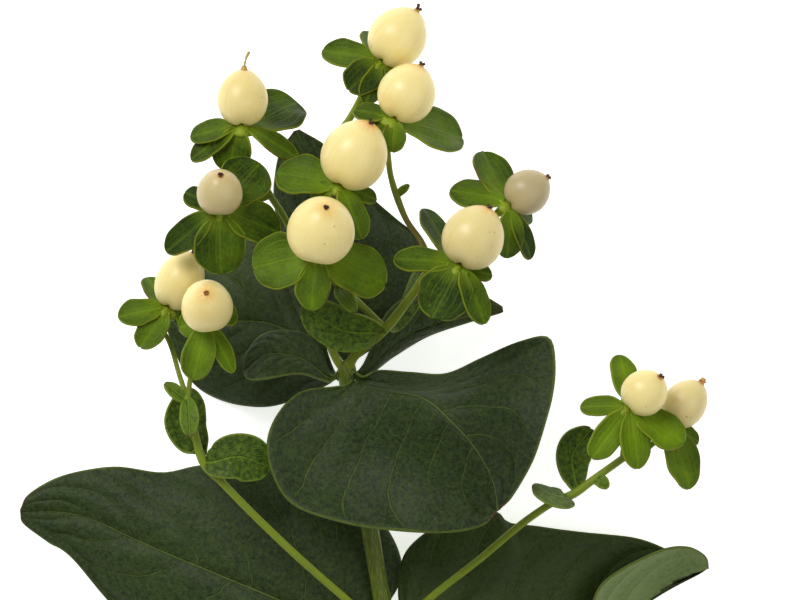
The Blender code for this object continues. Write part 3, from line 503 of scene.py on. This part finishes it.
def ragged(points, amount, seed):
    """A blade whose halves are a little wider and narrower in turn, as a grown edge is."""
    draw = np.random.default_rng(seed)
    middle = points.shape[1] // 2
    rib = points[:, middle:middle + 1]
    along = np.linspace(0, 1, points.shape[0])
    scale = np.ones(points.shape[:2])
    for half in (slice(0, middle), slice(middle + 1, None)):
        change = 0
        for pace in RAGGED_PACES:
            change += np.sin(math.pi * pace * along + draw.uniform(0, math.tau)) / pace**RAGGED_FALL
        scale[:, half] += amount * (change * np.sin(math.pi * along))[:, None]
    return rib + (points - rib) * scale[..., None]


def thicken(made, thickness):
    thick = made.modifiers.new("thickness", "SOLIDIFY")
    thick.thickness = thickness * MM
    thick.offset = 0
    thick.material_offset = 1
    thick.material_offset_rim = 0


def foot_on_stem(point):
    """The point of the stem's routes that is nearest to a leaf's base."""
    line = np.vstack([smooth_curve(route, ROUTE_STEPS)[:, :3] for route in STEM_ROUTES.values()])
    return line[np.argmin(np.linalg.norm(line - np.asarray(point, float), axis=1))]


def make_large_leaf(name, leaf, seed, materials):
    foot = foot_on_stem(leaf.rib[0])
    curves = []
    for line in (leaf.rib, leaf.left, leaf.right):
        start = foot + FOOT_WIDTH * (np.array(line[0]) - np.array(leaf.rib[0]))
        curves.append(smooth_curve([start, *line], LEAF_ROWS, ROW_CROWDING))
    rib, left, right = curves
    rows = np.arange(LEAF_ROWS + 1) / LEAF_ROWS
    closing = np.clip((rows - TIP_START) / (1 - TIP_START), 0, 1)[:, None] ** 2
    rib += closing * ((left[-1] + right[-1]) / 2 - rib[-1])
    points = blade_grid(rib, left, right, leaf.arch, LEAF_HALF_COLUMNS)
    shape = points.shape[:2]
    maps = blade_maps(points, leaf.shade)
    from_rib = map_grids(maps, "reach", shape)[0] * MAP_UNIT
    form = LARGE_LEAF_RELIEF
    relief = vein_height(maps, shape, form)
    relief += wave(points, form.wave, form.swell, seed) * np.clip(from_rib / WAVE_START, 0, 1)
    points = raised(points, UP, relief)
    points[..., 2] = np.maximum(points[..., 2], LEAF_THICKNESS / 2)
    made = Surfaces().add(points, turned_faces(points, UP), maps).make(name + "_blade", materials)
    thicken(made, LEAF_THICKNESS)
    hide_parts(name)


def make_small_leaf(name, leaf, seed, materials, replaced=True):
    """A small leaf that replaces its own node, or a bract, whose node is the stem."""
    faces = leaf.faces
    rib = [foot_on_stem(leaf.rib[0]), *leaf.rib]
    points = simple_blade_grid(
        rib, leaf.width, faces, SMALL_LEAF_ROWS, SMALL_LEAF_HALF_COLUMNS, SMALL_LEAF_FOOT
    )
    points = ragged(points, SMALL_LEAF_RAGGED, seed)
    maps = blade_maps(points, SMALL_LEAF_SHADE if replaced else BRACT_SHADE)
    fineness = min(1, leaf.width / FULL_RELIEF_WIDTH)
    form = SMALL_LEAF_RELIEF
    relief = vein_height(maps, points.shape[:2], form, fineness)
    relief += wave(points, form.wave, form.swell * fineness, seed)
    points = raised(points, faces, relief)
    made = Surfaces().add(points, turned_faces(points, faces), maps).make(name + "_blade", materials)
    thicken(made, THIN_BLADE)
    if replaced:
        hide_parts(name)


def ball(middle, axis, shape, segments, rings):
    """Points, faces and (around, along) of a round body. shape turns a unit sphere's points into
    millimetres."""
    around, along = np.meshgrid(np.linspace(0, math.tau, segments + 1), np.linspace(0, math.pi, rings + 1))
    wide = np.sin(along)
    sphere = np.stack([wide * np.cos(around), wide * np.sin(around), -np.cos(along)], axis=2)
    front = unit(across_axis(BERRY_FRONT, axis))
    turn = np.stack([front, np.cross(axis, front), axis])
    points = shape(sphere).reshape(-1, 3) @ turn + middle
    maps = np.stack([around / math.tau, along / math.pi], axis=2).reshape(-1, 2)
    return points, grid_faces(rings, segments)[:, ::-1], maps


def calyx_middle(berry):
    drop = berry.length / 2 + BERRY_CLEARANCE + RECEPTACLE_HEIGHT / 2
    return np.array(berry.middle, float) - unit(berry.axis) * drop


def sepal_rib(base, axis, bearing, reach, pitch):
    """A sepal's rib and the way that it faces: it never leans far towards the berry's tip, and it faces
    partly along the berry and partly up. One that hangs down starts on the upper side of the calyx."""
    flat_way = np.array([math.cos(math.radians(bearing)), math.sin(math.radians(bearing)), 0])
    lean = float(axis @ flat_way)
    tilt = math.radians(pitch)
    if lean * math.cos(tilt) + axis[2] * math.sin(tilt) > SEPAL_SWEEP_LIMIT:
        size = math.hypot(lean, axis[2])
        tilt = math.atan2(axis[2], lean) - math.acos(SEPAL_SWEEP_LIMIT / size)
    way = flat_way * math.cos(tilt) + UP * math.sin(tilt)
    faces = unit(across_axis(SEPAL_TURN * axis + (1 - SEPAL_TURN) * UP, way))
    hang = max(0.0, -float(way @ axis))
    outward = unit(across_axis(way, axis) + SEPAL_HANG * hang * across_axis(faces, axis))
    start = SEPAL_ROOT * RECEPTACLE_RADIUS
    root = base + start * outward + SEPAL_RISE * axis
    length = reach / max(math.cos(tilt), STEEPEST_COSINE) - start * max(0.0, float(outward @ way))
    stations = np.linspace(0, 1, SEPAL_STATIONS)[:, None]
    return root + way * length * stations - faces * SEPAL_CURL * length * stations**2, faces


def cushion_shape(sphere):
    """The calyx's cushion: it has low ridges, and is higher on the berry's side than on the stalk's."""
    around = np.arctan2(sphere[..., 1], sphere[..., 0])
    ridges = 1 + CUSHION_RIDGE * np.cos(CUSHION_RIDGES * around)
    rise = np.where(sphere[..., 2] > 0, CUSHION_RISE, RECEPTACLE_HEIGHT / 2)
    radius = np.full(rise.shape, CUSHION_RADIUS)
    return sphere * np.stack([radius, radius, rise], axis=2) * ridges[..., None]


def make_calyx(number, berry, materials):
    axis = unit(berry.axis)
    base = calyx_middle(berry)
    form = SEPAL_RELIEF
    sepals = Surfaces()
    for order, (bearing, reach, width, *pitch) in enumerate(berry.sepals):
        seed = int(number) * 10 + order
        rib, faces = sepal_rib(base, axis, bearing, reach, pitch[0] if pitch else SEPAL_PITCH)
        points = simple_blade_grid(rib, width, faces, SEPAL_ROWS, SEPAL_HALF_COLUMNS, SEPAL_FOOT)
        points = ragged(points, SEPAL_RAGGED, seed)
        shade = SEPAL_SHADES[number] + RANDOM.normal() * SEPAL_SHADE_SPREAD
        maps = blade_maps(points, float(np.clip(shade, 0, 1)))
        relief = wave(points, form.wave, form.swell * width, seed)
        relief += vein_height(maps, points.shape[:2], form)
        points = raised(points, faces, relief)
        sepals.add(points, turned_faces(points, faces), maps)
    made = sepals.make(f"calyx_{number}_sepals", materials["sepal"])
    thicken(made, THIN_BLADE)
    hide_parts(f"calyx_{number}")

    points, faces, maps = ball(base, axis, cushion_shape, CUSHION_SEGMENTS, CUSHION_RINGS)
    cushion = Surfaces().add(points, faces, {"tube": maps, "kind": maps * 0})
    disc = cushion.make(f"calyx_{number}_cushion", [materials["stem"]])
    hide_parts(f"calyx_{number}")


def tube(points, sides, ridge=0.0):
    """Points, faces and maps of a tube through (x, y, height, radius) points, with closed ends."""
    points = np.asarray(points, float)
    way = tangents(points)
    side = unit(np.cross(way[0], TUBE_SIDE))
    angles = np.linspace(0, math.tau, sides + 1)[:, None]
    steps = np.linalg.norm(np.diff(points[:, :3], axis=0), axis=1)
    run = np.concatenate([[0], np.cumsum(steps)]) / MAP_UNIT
    rings, marks = [], []
    for centre, ahead, reached in zip(points, way, run):
        side = unit(across_axis(side, ahead))
        other = np.cross(ahead, side)
        radius = centre[3] * (1 + ridge * np.cos(STEM_RIDGES * angles) ** 3)
        rings.append(centre[:3] + radius * (np.cos(angles) * side + np.sin(angles) * other))
        marks.append(np.hstack([np.full(angles.shape, reached), angles / math.tau]))
    faces = [tuple(face) for face in grid_faces(len(points) - 1, sides)[:, ::-1]]
    start = len(points) * (sides + 1)
    last_ring = start - sides - 1
    faces += [(start, side_now, side_now + 1) for side_now in range(sides)]
    faces += [(start + 1, last_ring + side_now + 1, last_ring + side_now) for side_now in range(sides)]
    maps = np.vstack([*marks, [[0, 0.5], [run[-1], 0.5]]])
    return np.vstack([*rings, points[0, :3], points[-1, :3]]), faces, maps


def stalk_route(route, berry):
    """A stalk's route on to its calyx, where it flares, as (x, y, height, radius) points."""
    axis = unit(berry.axis)
    foot = calyx_middle(berry) - axis * (RECEPTACLE_HEIGHT / 2 - STALK_SINK)
    radius = STALK_SHARE * route[-1][3]
    bend = np.array([*(foot - axis * STALK_BEND), radius])
    end = np.array([*foot, STALK_FLARE * radius])
    return np.vstack([fine_route([*route, bend]), bend + (end - bend) * STALK_STATIONS])


def domed_route(route):
    """A stem's route with a dome at its upper end, as (x, y, height, radius) points."""
    fine = fine_route(route)
    radius = fine[-1, 3]
    ahead = unit(fine[-1, :3] - fine[-2, :3])
    middles = fine[-1, :3] + ahead * radius * DOME_STATIONS
    return np.vstack([fine, np.hstack([middles, radius * np.cos(DOME_TURN * DOME_STATIONS)])])


def make_stem(materials):
    """The branching stem: each branch is a ridged tube that ends in its berry's calyx or in a dome."""
    stem = Surfaces()
    for branch, route in STEM_ROUTES.items():
        main = branch == "main"
        berry = BERRIES.get(branch[-2:])
        fine = stalk_route(route, berry) if berry else domed_route(route)
        fine[:, 3] *= SLIMNESS_BY_STEM.get(branch, SLIMNESS)
        sides = MAIN_STEM_SIDES if main else STEM_SIDES
        points, faces, maps = tube(fine, sides, STEM_RIDGE)
        shade = MAIN_STEM_SHADE if main else SIDE_STEM_SHADE
        kinds = np.tile([shade, STEM_BROWNS.get(branch, STEM_BROWN)], (len(points), 1))
        slots = np.zeros(len(faces), dtype=int)
        if main:
            slots[-2 * sides:-sides] = 1
        stem.add(points, faces, {"tube": maps, "kind": kinds}, slots)
    made = stem.make("stem_branches", [materials["stem"], materials["cut"]])
    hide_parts("stem")


def berry_shape(width, length):
    """A berry's body: furrows that deepen to a dimple at the foot, and a slight point at the tip."""

    def shape(sphere):
        around = np.arctan2(sphere[..., 1], sphere[..., 0])
        height = sphere[..., 2]
        low = 0.5 - 0.5 * height
        furrow = FURROW_DEPTH * low**1.5 * (0.5 + 0.5 * np.cos(FURROWS * around)) ** 2
        dimple = DIMPLE_DEPTH * np.exp(-(1 + height) / DIMPLE_REACH)
        body = 1 - furrow - dimple
        across = width / 2 * body * (1 - BERRY_TAPER * height)
        along = length / 2 * (height * body + BERRY_POINT * np.maximum(0, height - BERRY_POINT_START))
        return np.stack([across * sphere[..., 0], across * sphere[..., 1], along], axis=2)

    return shape


def style_routes(tip, axis, length, shortening):
    """Short, splayed styles at a berry's tip, each as (x, y, height, radius) points."""
    side = unit(np.cross(axis, STYLE_SIDE))
    other = np.cross(axis, side)
    routes = []
    for angle in np.arange(STYLES) * math.tau / STYLES:
        splay = side * math.cos(angle) + other * math.sin(angle)
        grown = length * RANDOM.uniform(*STYLE_LENGTHS) * shortening
        root = tip - axis * STYLE_SINK + splay * STYLE_OFFSET
        route = []
        for rise, rise_grown, out, out_grown, radius in STYLE_STATIONS:
            point = root + axis * (rise + rise_grown * grown) + splay * (out + out_grown * grown)
            route.append((*point, radius))
        fine = smooth_curve(route, STYLE_STEPS)
        fine[-2:, 3] = STYLE_TIP_RADIUS
        routes.append(fine)
    return routes


def thread_route():
    """The whole style that one berry keeps, shorter and slimmer than in the solids."""
    fine = fine_route(STYLE_THREAD_03)
    fine[:, :3] = fine[0, :3] + THREAD_LENGTH * (fine[:, :3] - fine[0, :3])
    fine[:, 3] *= THREAD_SLIMNESS
    fine[-3:, 3] = THREAD_TIP * fine[-4, 3]
    return fine


def make_berry(number, berry, materials):
    axis = unit(berry.axis)
    middle = np.array(berry.middle, float)
    shape = berry_shape(berry.width, berry.length)
    points, faces, maps = ball(middle, axis, shape, BERRY_SEGMENTS, BERRY_RINGS)
    kinds = np.tile([BERRY_DULLNESS.get(number, 0.0), BERRY_BLUSH.get(number, BLUSH)], (len(points), 1))
    skin = Surfaces().add(points, faces, {"ball": maps, "kind": kinds})
    body = skin.make(f"berry_{number}_skin", [materials["berry"]])
    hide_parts(f"berry_{number}")

    tip = middle + axis * berry.length / 2
    ends = Surfaces()
    if berry.styles:
        for route in style_routes(tip, axis, berry.styles, BARE_TIP_LENGTH if number in BARE_TIPS else 1):
            points, faces, maps = tube(route, STYLE_SIDES)
            ends.add(points, faces, {"tube": maps}, 0)
    else:
        points, faces, maps = tube(thread_route(), STYLE_SIDES)
        slots = [0 if min(face) > THREAD_DARK_FROM * len(points) else 2 for face in faces]
        ends.add(points, faces, {"tube": maps}, slots)
    beak = BEAKS.get(number, BEAK)
    rises = (-NECK_SINK, NECK_BEND * beak, beak)
    neck = [(*(tip + axis * rise), radius) for rise, radius in zip(rises, NECK_RADII)]
    points, faces, maps = tube(smooth_curve(neck, STYLE_STEPS), NECK_SIDES)
    ends.add(points, faces, {"tube": maps}, 1)
    styles = ends.make(f"berry_{number}_styles", [materials["style"], materials["neck"], materials["thread"]])
    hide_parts(f"berry_{number}")


class Value:
    """A number in a material's nodes, which sums, products and smooth steps are made from."""

    def __init__(self, socket):
        self.socket = socket

    def math(self, operation, *others):
        return add_node(self.socket.id_data, "Math", (self, *others), operation=operation)

    def __add__(self, other):
        return self.math("ADD", other)

    def __sub__(self, other):
        return self.math("SUBTRACT", other)

    def __mul__(self, other):
        return self.math("MULTIPLY", other)

    def __truediv__(self, other):
        return self.math("DIVIDE", other)

    def centred(self, swing):
        """Noise turned into a change of up to half the swing, either way."""
        return (self - 0.5) * swing

    def step(self, start, end, low=0.0, high=1.0):
        """A smooth change from low to high as this value goes from start to end."""
        inputs = (self, start, end, low, high)
        return add_node(self.socket.id_data, "MapRange", inputs, interpolation_type="SMOOTHSTEP")


def feed(socket, value):
    if isinstance(value, Value):
        socket.id_data.links.new(value.socket, socket)
    else:
        socket.default_value = (*value, 1) if socket.type == "RGBA" else value


def add_node(tree, kind, inputs, output=0, **settings):
    """A new node's output. inputs are in the sockets' order, or by their names or numbers."""
    node = tree.nodes.new("ShaderNode" + kind)
    for name, value in settings.items():
        setattr(node, name, value)
    for name, value in inputs.items() if isinstance(inputs, dict) else enumerate(inputs):
        feed(node.inputs[name], value)
    return Value(node.outputs[output])


class Paint:
    """A material that is painted mark by mark: each tints the colour so far and stands out or lies deep."""

    def __init__(self, name):
        self.material = bpy.data.materials.new(name)
        self.material.use_nodes = True
        self.tree = self.material.node_tree
        self.where = add_node(self.tree, "TexCoord", {}, "Object")
        self.colour = None
        self.height = 0.0

    def uv(self, name):
        """The two numbers of a UV map."""
        pair = add_node(self.tree, "UVMap", {}, uv_map=name)
        return [add_node(self.tree, "SeparateXYZ", [pair], part) for part in (0, 1)]

    def place(self, *parts):
        return add_node(self.tree, "CombineXYZ", parts)

    def noise(self, scale, detail, rough=0.55, where=None):
        inputs = {"Vector": where or self.where, "Scale": scale, "Detail": detail, "Roughness": rough}
        return add_node(self.tree, "TexNoise", inputs)

    def cells(self, scale, feature="DISTANCE_TO_EDGE"):
        inputs = {"Vector": self.where, "Scale": scale}
        return add_node(self.tree, "TexVoronoi", inputs, "Distance", feature=feature)

    def mix(self, share, first, second):
        factor, one, other, mixed = 0, 6, 7, 2
        inputs = {factor: share, one: first, other: second}
        return add_node(self.tree, "Mix", inputs, mixed, data_type="RGBA")

    def mark(self, mark, colour=None, tint=1.0, height=0.0):
        """Tint the colour so far where a mark is, and raise it there."""
        if colour:
            self.colour = self.mix(mark * tint, self.colour, colour)
        if height:
            self.height = mark * height + self.height

    def margin(self, to_edge, widths, inner, scale):
        """1 along a blade's edge, in a band whose width wavers between two, full from inner outwards."""
        least, most = np.array(widths) / MAP_UNIT
        width = self.noise(scale, 2) * (most - least) + least
        return (to_edge / width).step(1.0, inner)

    def finish(self, rough, distance=0.0, strength=1.0, **others):
        """The material, whose relief is the marks' heights times a distance in millimetres."""
        shader = self.tree.nodes["Principled BSDF"]
        inputs = {"Base Color": self.colour, "Roughness": rough}
        if distance:
            relief = {"Height": self.height, "Distance": distance * MM, "Strength": strength}
            inputs["Normal"] = add_node(self.tree, "Bump", relief)
        inputs.update({name.replace("_", " "): value for name, value in others.items()})
        for name, value in inputs.items():
            feed(shader.inputs[name], value)
        return self.material


def srgb(red, green, blue):
    """A screen colour of 0 to 255 as shares of light."""
    shares = np.array([red, green, blue]) / 255
    bright = ((shares + 0.055) / 1.055) ** 2.4
    return tuple(np.where(shares < 0.04045, shares / 12.92, bright).tolist())


# The dark, light, vein and margin colour of each side of a blade, from 0 to 255
BLADE_COLOURS = {
    "large leaf top": ((24, 38, 12), (54, 70, 28), (102, 120, 56), (104, 120, 36)),
    "large leaf under": ((84, 102, 56), (112, 130, 78), (132, 148, 96), (104, 120, 36)),
    "small leaf top": ((32, 52, 6), (90, 116, 26), (116, 142, 40), (132, 152, 40)),
    "small leaf under": ((72, 90, 44), (104, 122, 66), (134, 152, 86), (132, 152, 40)),
    "sepal top": ((32, 52, 2), (108, 138, 4), (128, 156, 26), (150, 160, 40)),
    "sepal under": ((60, 78, 26), (98, 118, 44), (130, 150, 74), (150, 160, 40)),
}
LEAF_TIP_RED, SEPAL_RIM_BROWN, FRECKLE_BROWN = srgb(104, 34, 26), srgb(110, 66, 26), srgb(92, 62, 22)
CREAM, PALE_CREAM, WARM_CREAM, DULL_CREAM = (
    srgb(238, 218, 138), srgb(246, 230, 166), srgb(228, 198, 112), srgb(168, 153, 118)
)
BLUSH_ORANGE, SPECK_BROWN, BERRY_FOOT = srgb(222, 146, 14), srgb(160, 98, 36), srgb(150, 140, 60)
LIGHT_BARK, DARK_BARK, PALE_BARK = srgb(132, 152, 26), srgb(74, 88, 14), srgb(142, 158, 56)
DEEP_BARK, BARK_BROWN = srgb(44, 56, 10), srgb(104, 66, 34)


def leaf_material(name, form):
    """A pinnate blade: pale rib and arching side veins, fine nets, a pale margin and soft blotches."""
    paint = Paint(name)
    dark, light, vein, margin = (srgb(*colour) for colour in BLADE_COLOURS[name])
    along, across = paint.uv("blade")
    from_rib, to_edge = paint.uv("reach")
    shade, length = paint.uv("kind")
    fine = paint.noise(1200, 3)
    drift = paint.noise(130, 2).centred(0.05)
    share = (across * 2 - 1).math("ABSOLUTE")
    phase = (along - share.math("POWER", VEIN_CURVE) * form.sweep + drift) * form.veins
    phase += across.step(0.49, 0.51) * VEIN_STAGGER
    off_vein = phase.math("PINGPONG", 0.5) * length * (MAP_UNIT / form.veins)
    side_veins = off_vein.step(0.3, 0.06) * to_edge.step(0.4 / MAP_UNIT, 3 / MAP_UNIT)
    rib_width = along * (-0.3 / MAP_UNIT) + 0.48 / MAP_UNIT
    edge = paint.mix(along.step(0.93, 0.98), margin, LEAF_TIP_RED)
    up = -1 if name.endswith("under") else 1
    # A blade's shade from its map sets its tone. For the lower right leaf this shade includes painted light.
    paint.colour = paint.mix(shade + paint.noise(60, 4).centred(1.0) + fine.centred(2.4), dark, light)
    paint.mark(paint.cells(1500).step(0.12, 0.0), vein, tint=0.07, height=-0.06 * up)
    paint.mark(paint.cells(560).step(0.06, 0.0), vein, tint=0.08, height=-0.1 * up)
    paint.mark(side_veins, vein, tint=0.27, height=-0.5 * up)
    paint.mark((from_rib / rib_width).step(1.0, 0.35), vein, tint=0.5, height=-0.8 * up)
    paint.mark(paint.margin(to_edge, form.margin, 0.3, 200), edge, tint=0.5)
    paint.mark(paint.noise(260, 3), height=0.9 * up)
    paint.mark(fine, height=0.2 * up)
    rough, gloss = (0.42, 0.2) if up > 0 else (0.55, 0.12)
    return paint.finish(fine * 0.16 + rough, 0.42, 0.9, Specular_IOR_Level=gloss)


def sepal_material(name, form):
    """A sepal: veins that run from base to tip, a light margin, brown freckles and a pale foot."""
    paint = Paint(name)
    dark, light, vein, margin = (srgb(*colour) for colour in BLADE_COLOURS[name])
    along, across = paint.uv("blade")
    from_rib, to_edge = paint.uv("reach")
    shade = paint.uv("kind")[0]
    fine = paint.noise(1500, 3)
    drift = paint.noise(260, 2).centred(0.09)
    lines = ((across + drift) * SEPAL_VEINS).math("PINGPONG", 0.5)
    rim = paint.mix(paint.noise(120, 2).step(0.55, 0.7), margin, SEPAL_RIM_BROWN)
    freckles = paint.noise(520, 2, rough=0.4).step(0.73, 0.77)
    up = -1 if name.endswith("under") else 1
    paint.colour = paint.mix(shade + paint.noise(140, 4).centred(1.2) + fine.centred(0.5), dark, light)
    paint.mark(to_edge.step(3 / MAP_UNIT, 0.4 / MAP_UNIT), dark, tint=0.35)
    paint.mark(paint.cells(900).step(0.09, 0.0), vein, tint=0.08, height=-0.15 * up)
    paint.mark(lines.step(0.16, 0.0) * along.step(1.0, 0.7), vein, tint=0.14, height=-0.4 * up)
    paint.mark(from_rib.step(0.45 / MAP_UNIT, 0.1 / MAP_UNIT), vein, tint=0.16, height=-0.6 * up)
    paint.mark(along.step(0.45, 0.0), vein, tint=0.45)
    paint.mark(paint.margin(to_edge, form.margin, 0.2, 300), rim, tint=0.45)
    paint.mark(freckles, FRECKLE_BROWN, tint=0.55)
    paint.mark(fine, height=0.1 * up)
    return paint.finish(fine * 0.18 + 0.42, 0.25, 0.7, Specular_IOR_Level=0.14)


def berry_material():
    """Waxy cream skin: faint streaks from foot to tip, an orange blush at the tip, and small brown specks."""
    paint = Paint("berry skin")
    around, along = paint.uv("ball")
    dull, blush = paint.uv("kind")
    turn = around * math.tau
    circle = [turn.math(way) * 3 for way in ("SINE", "COSINE")]
    streaks = paint.noise(3.2, 4, where=paint.place(*circle, along * 0.6))
    cloud = paint.noise(150, 3)
    tip = along.step(cloud * 0.12 + 0.74, 0.99)
    specks = paint.cells(620, "F1").step(0.16, 0.08) * paint.noise(210, 2).step(0.6, 0.66)
    paint.colour = paint.mix(streaks, CREAM, PALE_CREAM)
    paint.mark(cloud.step(0.45, 0.75), WARM_CREAM, tint=0.35)
    paint.mark(dull, DULL_CREAM, tint=0.85)
    paint.mark(tip * blush * streaks.step(0.38, 0.6, 0.35, 1.0), BLUSH_ORANGE)
    paint.mark(specks, SPECK_BROWN, tint=0.7)
    paint.mark(along.step(0.12, 0.02), BERRY_FOOT, tint=0.6)
    paint.mark(streaks, height=0.4)
    paint.mark(paint.noise(500, 2), height=0.25)
    return paint.finish(
        cloud * 0.14 + 0.27, 0.12, 0.5, Subsurface_Weight=0.25, Subsurface_Radius=(1.0, 0.75, 0.35),
        Subsurface_Scale=1.8 * MM, Specular_IOR_Level=0.4,
    )


def stem_material():
    """Green bark with streaks along the stem, darker and browner in places."""
    paint = Paint("stem bark")
    along, around = paint.uv("tube")
    shade, brown = paint.uv("kind")
    strands = paint.noise(4, 4, where=paint.place(along * 14, around * 9))
    cloud = paint.noise(70, 3)
    paint.colour = paint.mix(shade, LIGHT_BARK, DARK_BARK)
    paint.mark(strands.step(0.42, 0.7), PALE_BARK, tint=0.4)
    paint.mark(cloud.step(0.5, 0.8), DEEP_BARK, tint=0.35)
    paint.mark(cloud.step(0.3, 0.6) * brown * along.step(0.19, 0.1, 0.1, 0.85), BARK_BROWN)
    paint.mark(strands, height=0.6)
    paint.mark(paint.noise(900, 2), height=0.2)
    return paint.finish(0.42, 0.25, 0.6, Specular_IOR_Level=0.25)


def plain_material(name, first, second, scale, rough, distance=0.15, strength=0.5):
    """Two colours mixed by fine noise, which also stands a little high."""
    paint = Paint(name)
    grain = paint.noise(scale, 3)
    paint.colour = paint.mix(grain, srgb(*first), srgb(*second))
    paint.mark(grain, height=1.0)
    return paint.finish(rough, distance, strength)


def make_materials():
    """Each kind's materials. A blade has one for its upper side and one for its underside."""
    blades = {}
    for kind, make, form in (
        ("large leaf", leaf_material, LARGE_LEAF_RELIEF),
        ("small leaf", leaf_material, SMALL_LEAF_RELIEF),
        ("sepal", sepal_material, SEPAL_RELIEF),
    ):
        blades[kind] = [make(f"{kind} {side}", form) for side in ("top", "under")]
    return {
        **blades,
        "berry": berry_material(),
        "stem": stem_material(),
        "cut": plain_material("stem cut", (176, 182, 120), (214, 214, 164), 1400, 0.7, 0.2, 0.6),
        "style": plain_material("dark style", (38, 20, 10), (84, 46, 20), 2500, 0.6),
        "neck": plain_material("berry tip", (150, 96, 34), (214, 168, 78), 1200, 0.45),
        "thread": plain_material("style thread", (150, 140, 60), (190, 172, 84), 900, 0.5),
    }


def make_stage():
    """A pale floor, soft studio light and the camera that looks straight down on the stem."""
    bpy.ops.mesh.primitive_plane_add(size=FLOOR_SIZE, location=(0, 0, FLOOR_HEIGHT))
    floor = bpy.context.object
    floor.name = "floor"
    paint = Paint("floor white")
    paint.colour = FLOOR_WHITE
    glow = {"Emission_Color": FLOOR_WHITE, "Emission_Strength": FLOOR_GLOW}
    floor.data.materials.append(paint.finish(FLOOR_ROUGHNESS, **glow, Specular_IOR_Level=0.0))
    scene = bpy.context.scene
    scene.world = bpy.data.worlds.new("studio")
    scene.world.use_nodes = True
    background = scene.world.node_tree.nodes["Background"]
    feed(background.inputs["Color"], (1, 1, 1))
    feed(background.inputs["Strength"], WORLD_LIGHT)
    for name, (location, size, power) in LAMPS.items():
        light = bpy.data.lights.new(name, "AREA")
        light.shape = "RECTANGLE"
        light.size, light.size_y = size
        light.energy = power
        lamp = bpy.data.objects.new(name, light)
        lamp.location = location
        lamp.rotation_euler = (Vector(LAMP_TARGET) - Vector(location)).to_track_quat("-Z", "Y").to_euler()
        scene.collection.objects.link(lamp)
    camera = bpy.data.objects.new("camera", bpy.data.cameras.new("camera"))
    camera.data.sensor_width = CAMERA_SENSOR
    camera.data.lens = CAMERA_LENS
    camera.data.clip_end = CAMERA_CLIP
    camera.location = (LAYOUT_SHIFT[0] * MM, LAYOUT_SHIFT[1] * MM, CAMERA_HEIGHT)
    scene.collection.objects.link(camera)
    scene.camera = camera
    scene.view_settings.view_transform = "Standard"


materials = make_materials()
make_stage()
make_stem(materials)
for seed, (name, leaf) in enumerate(LARGE_LEAVES.items(), 1):
    make_large_leaf(name, leaf, seed, materials["large leaf"])
for seed, (name, leaf) in enumerate(SMALL_LEAVES.items(), 21):
    make_small_leaf(name, leaf, seed, materials["small leaf"])
for seed, (name, leaf) in enumerate(BRACTS.items(), 41):
    make_small_leaf(name.replace(" ", "_"), leaf, seed, materials["small leaf"], replaced=False)
for number, berry in BERRIES.items():
    make_berry(number, berry, materials)
    make_calyx(number, berry, materials)
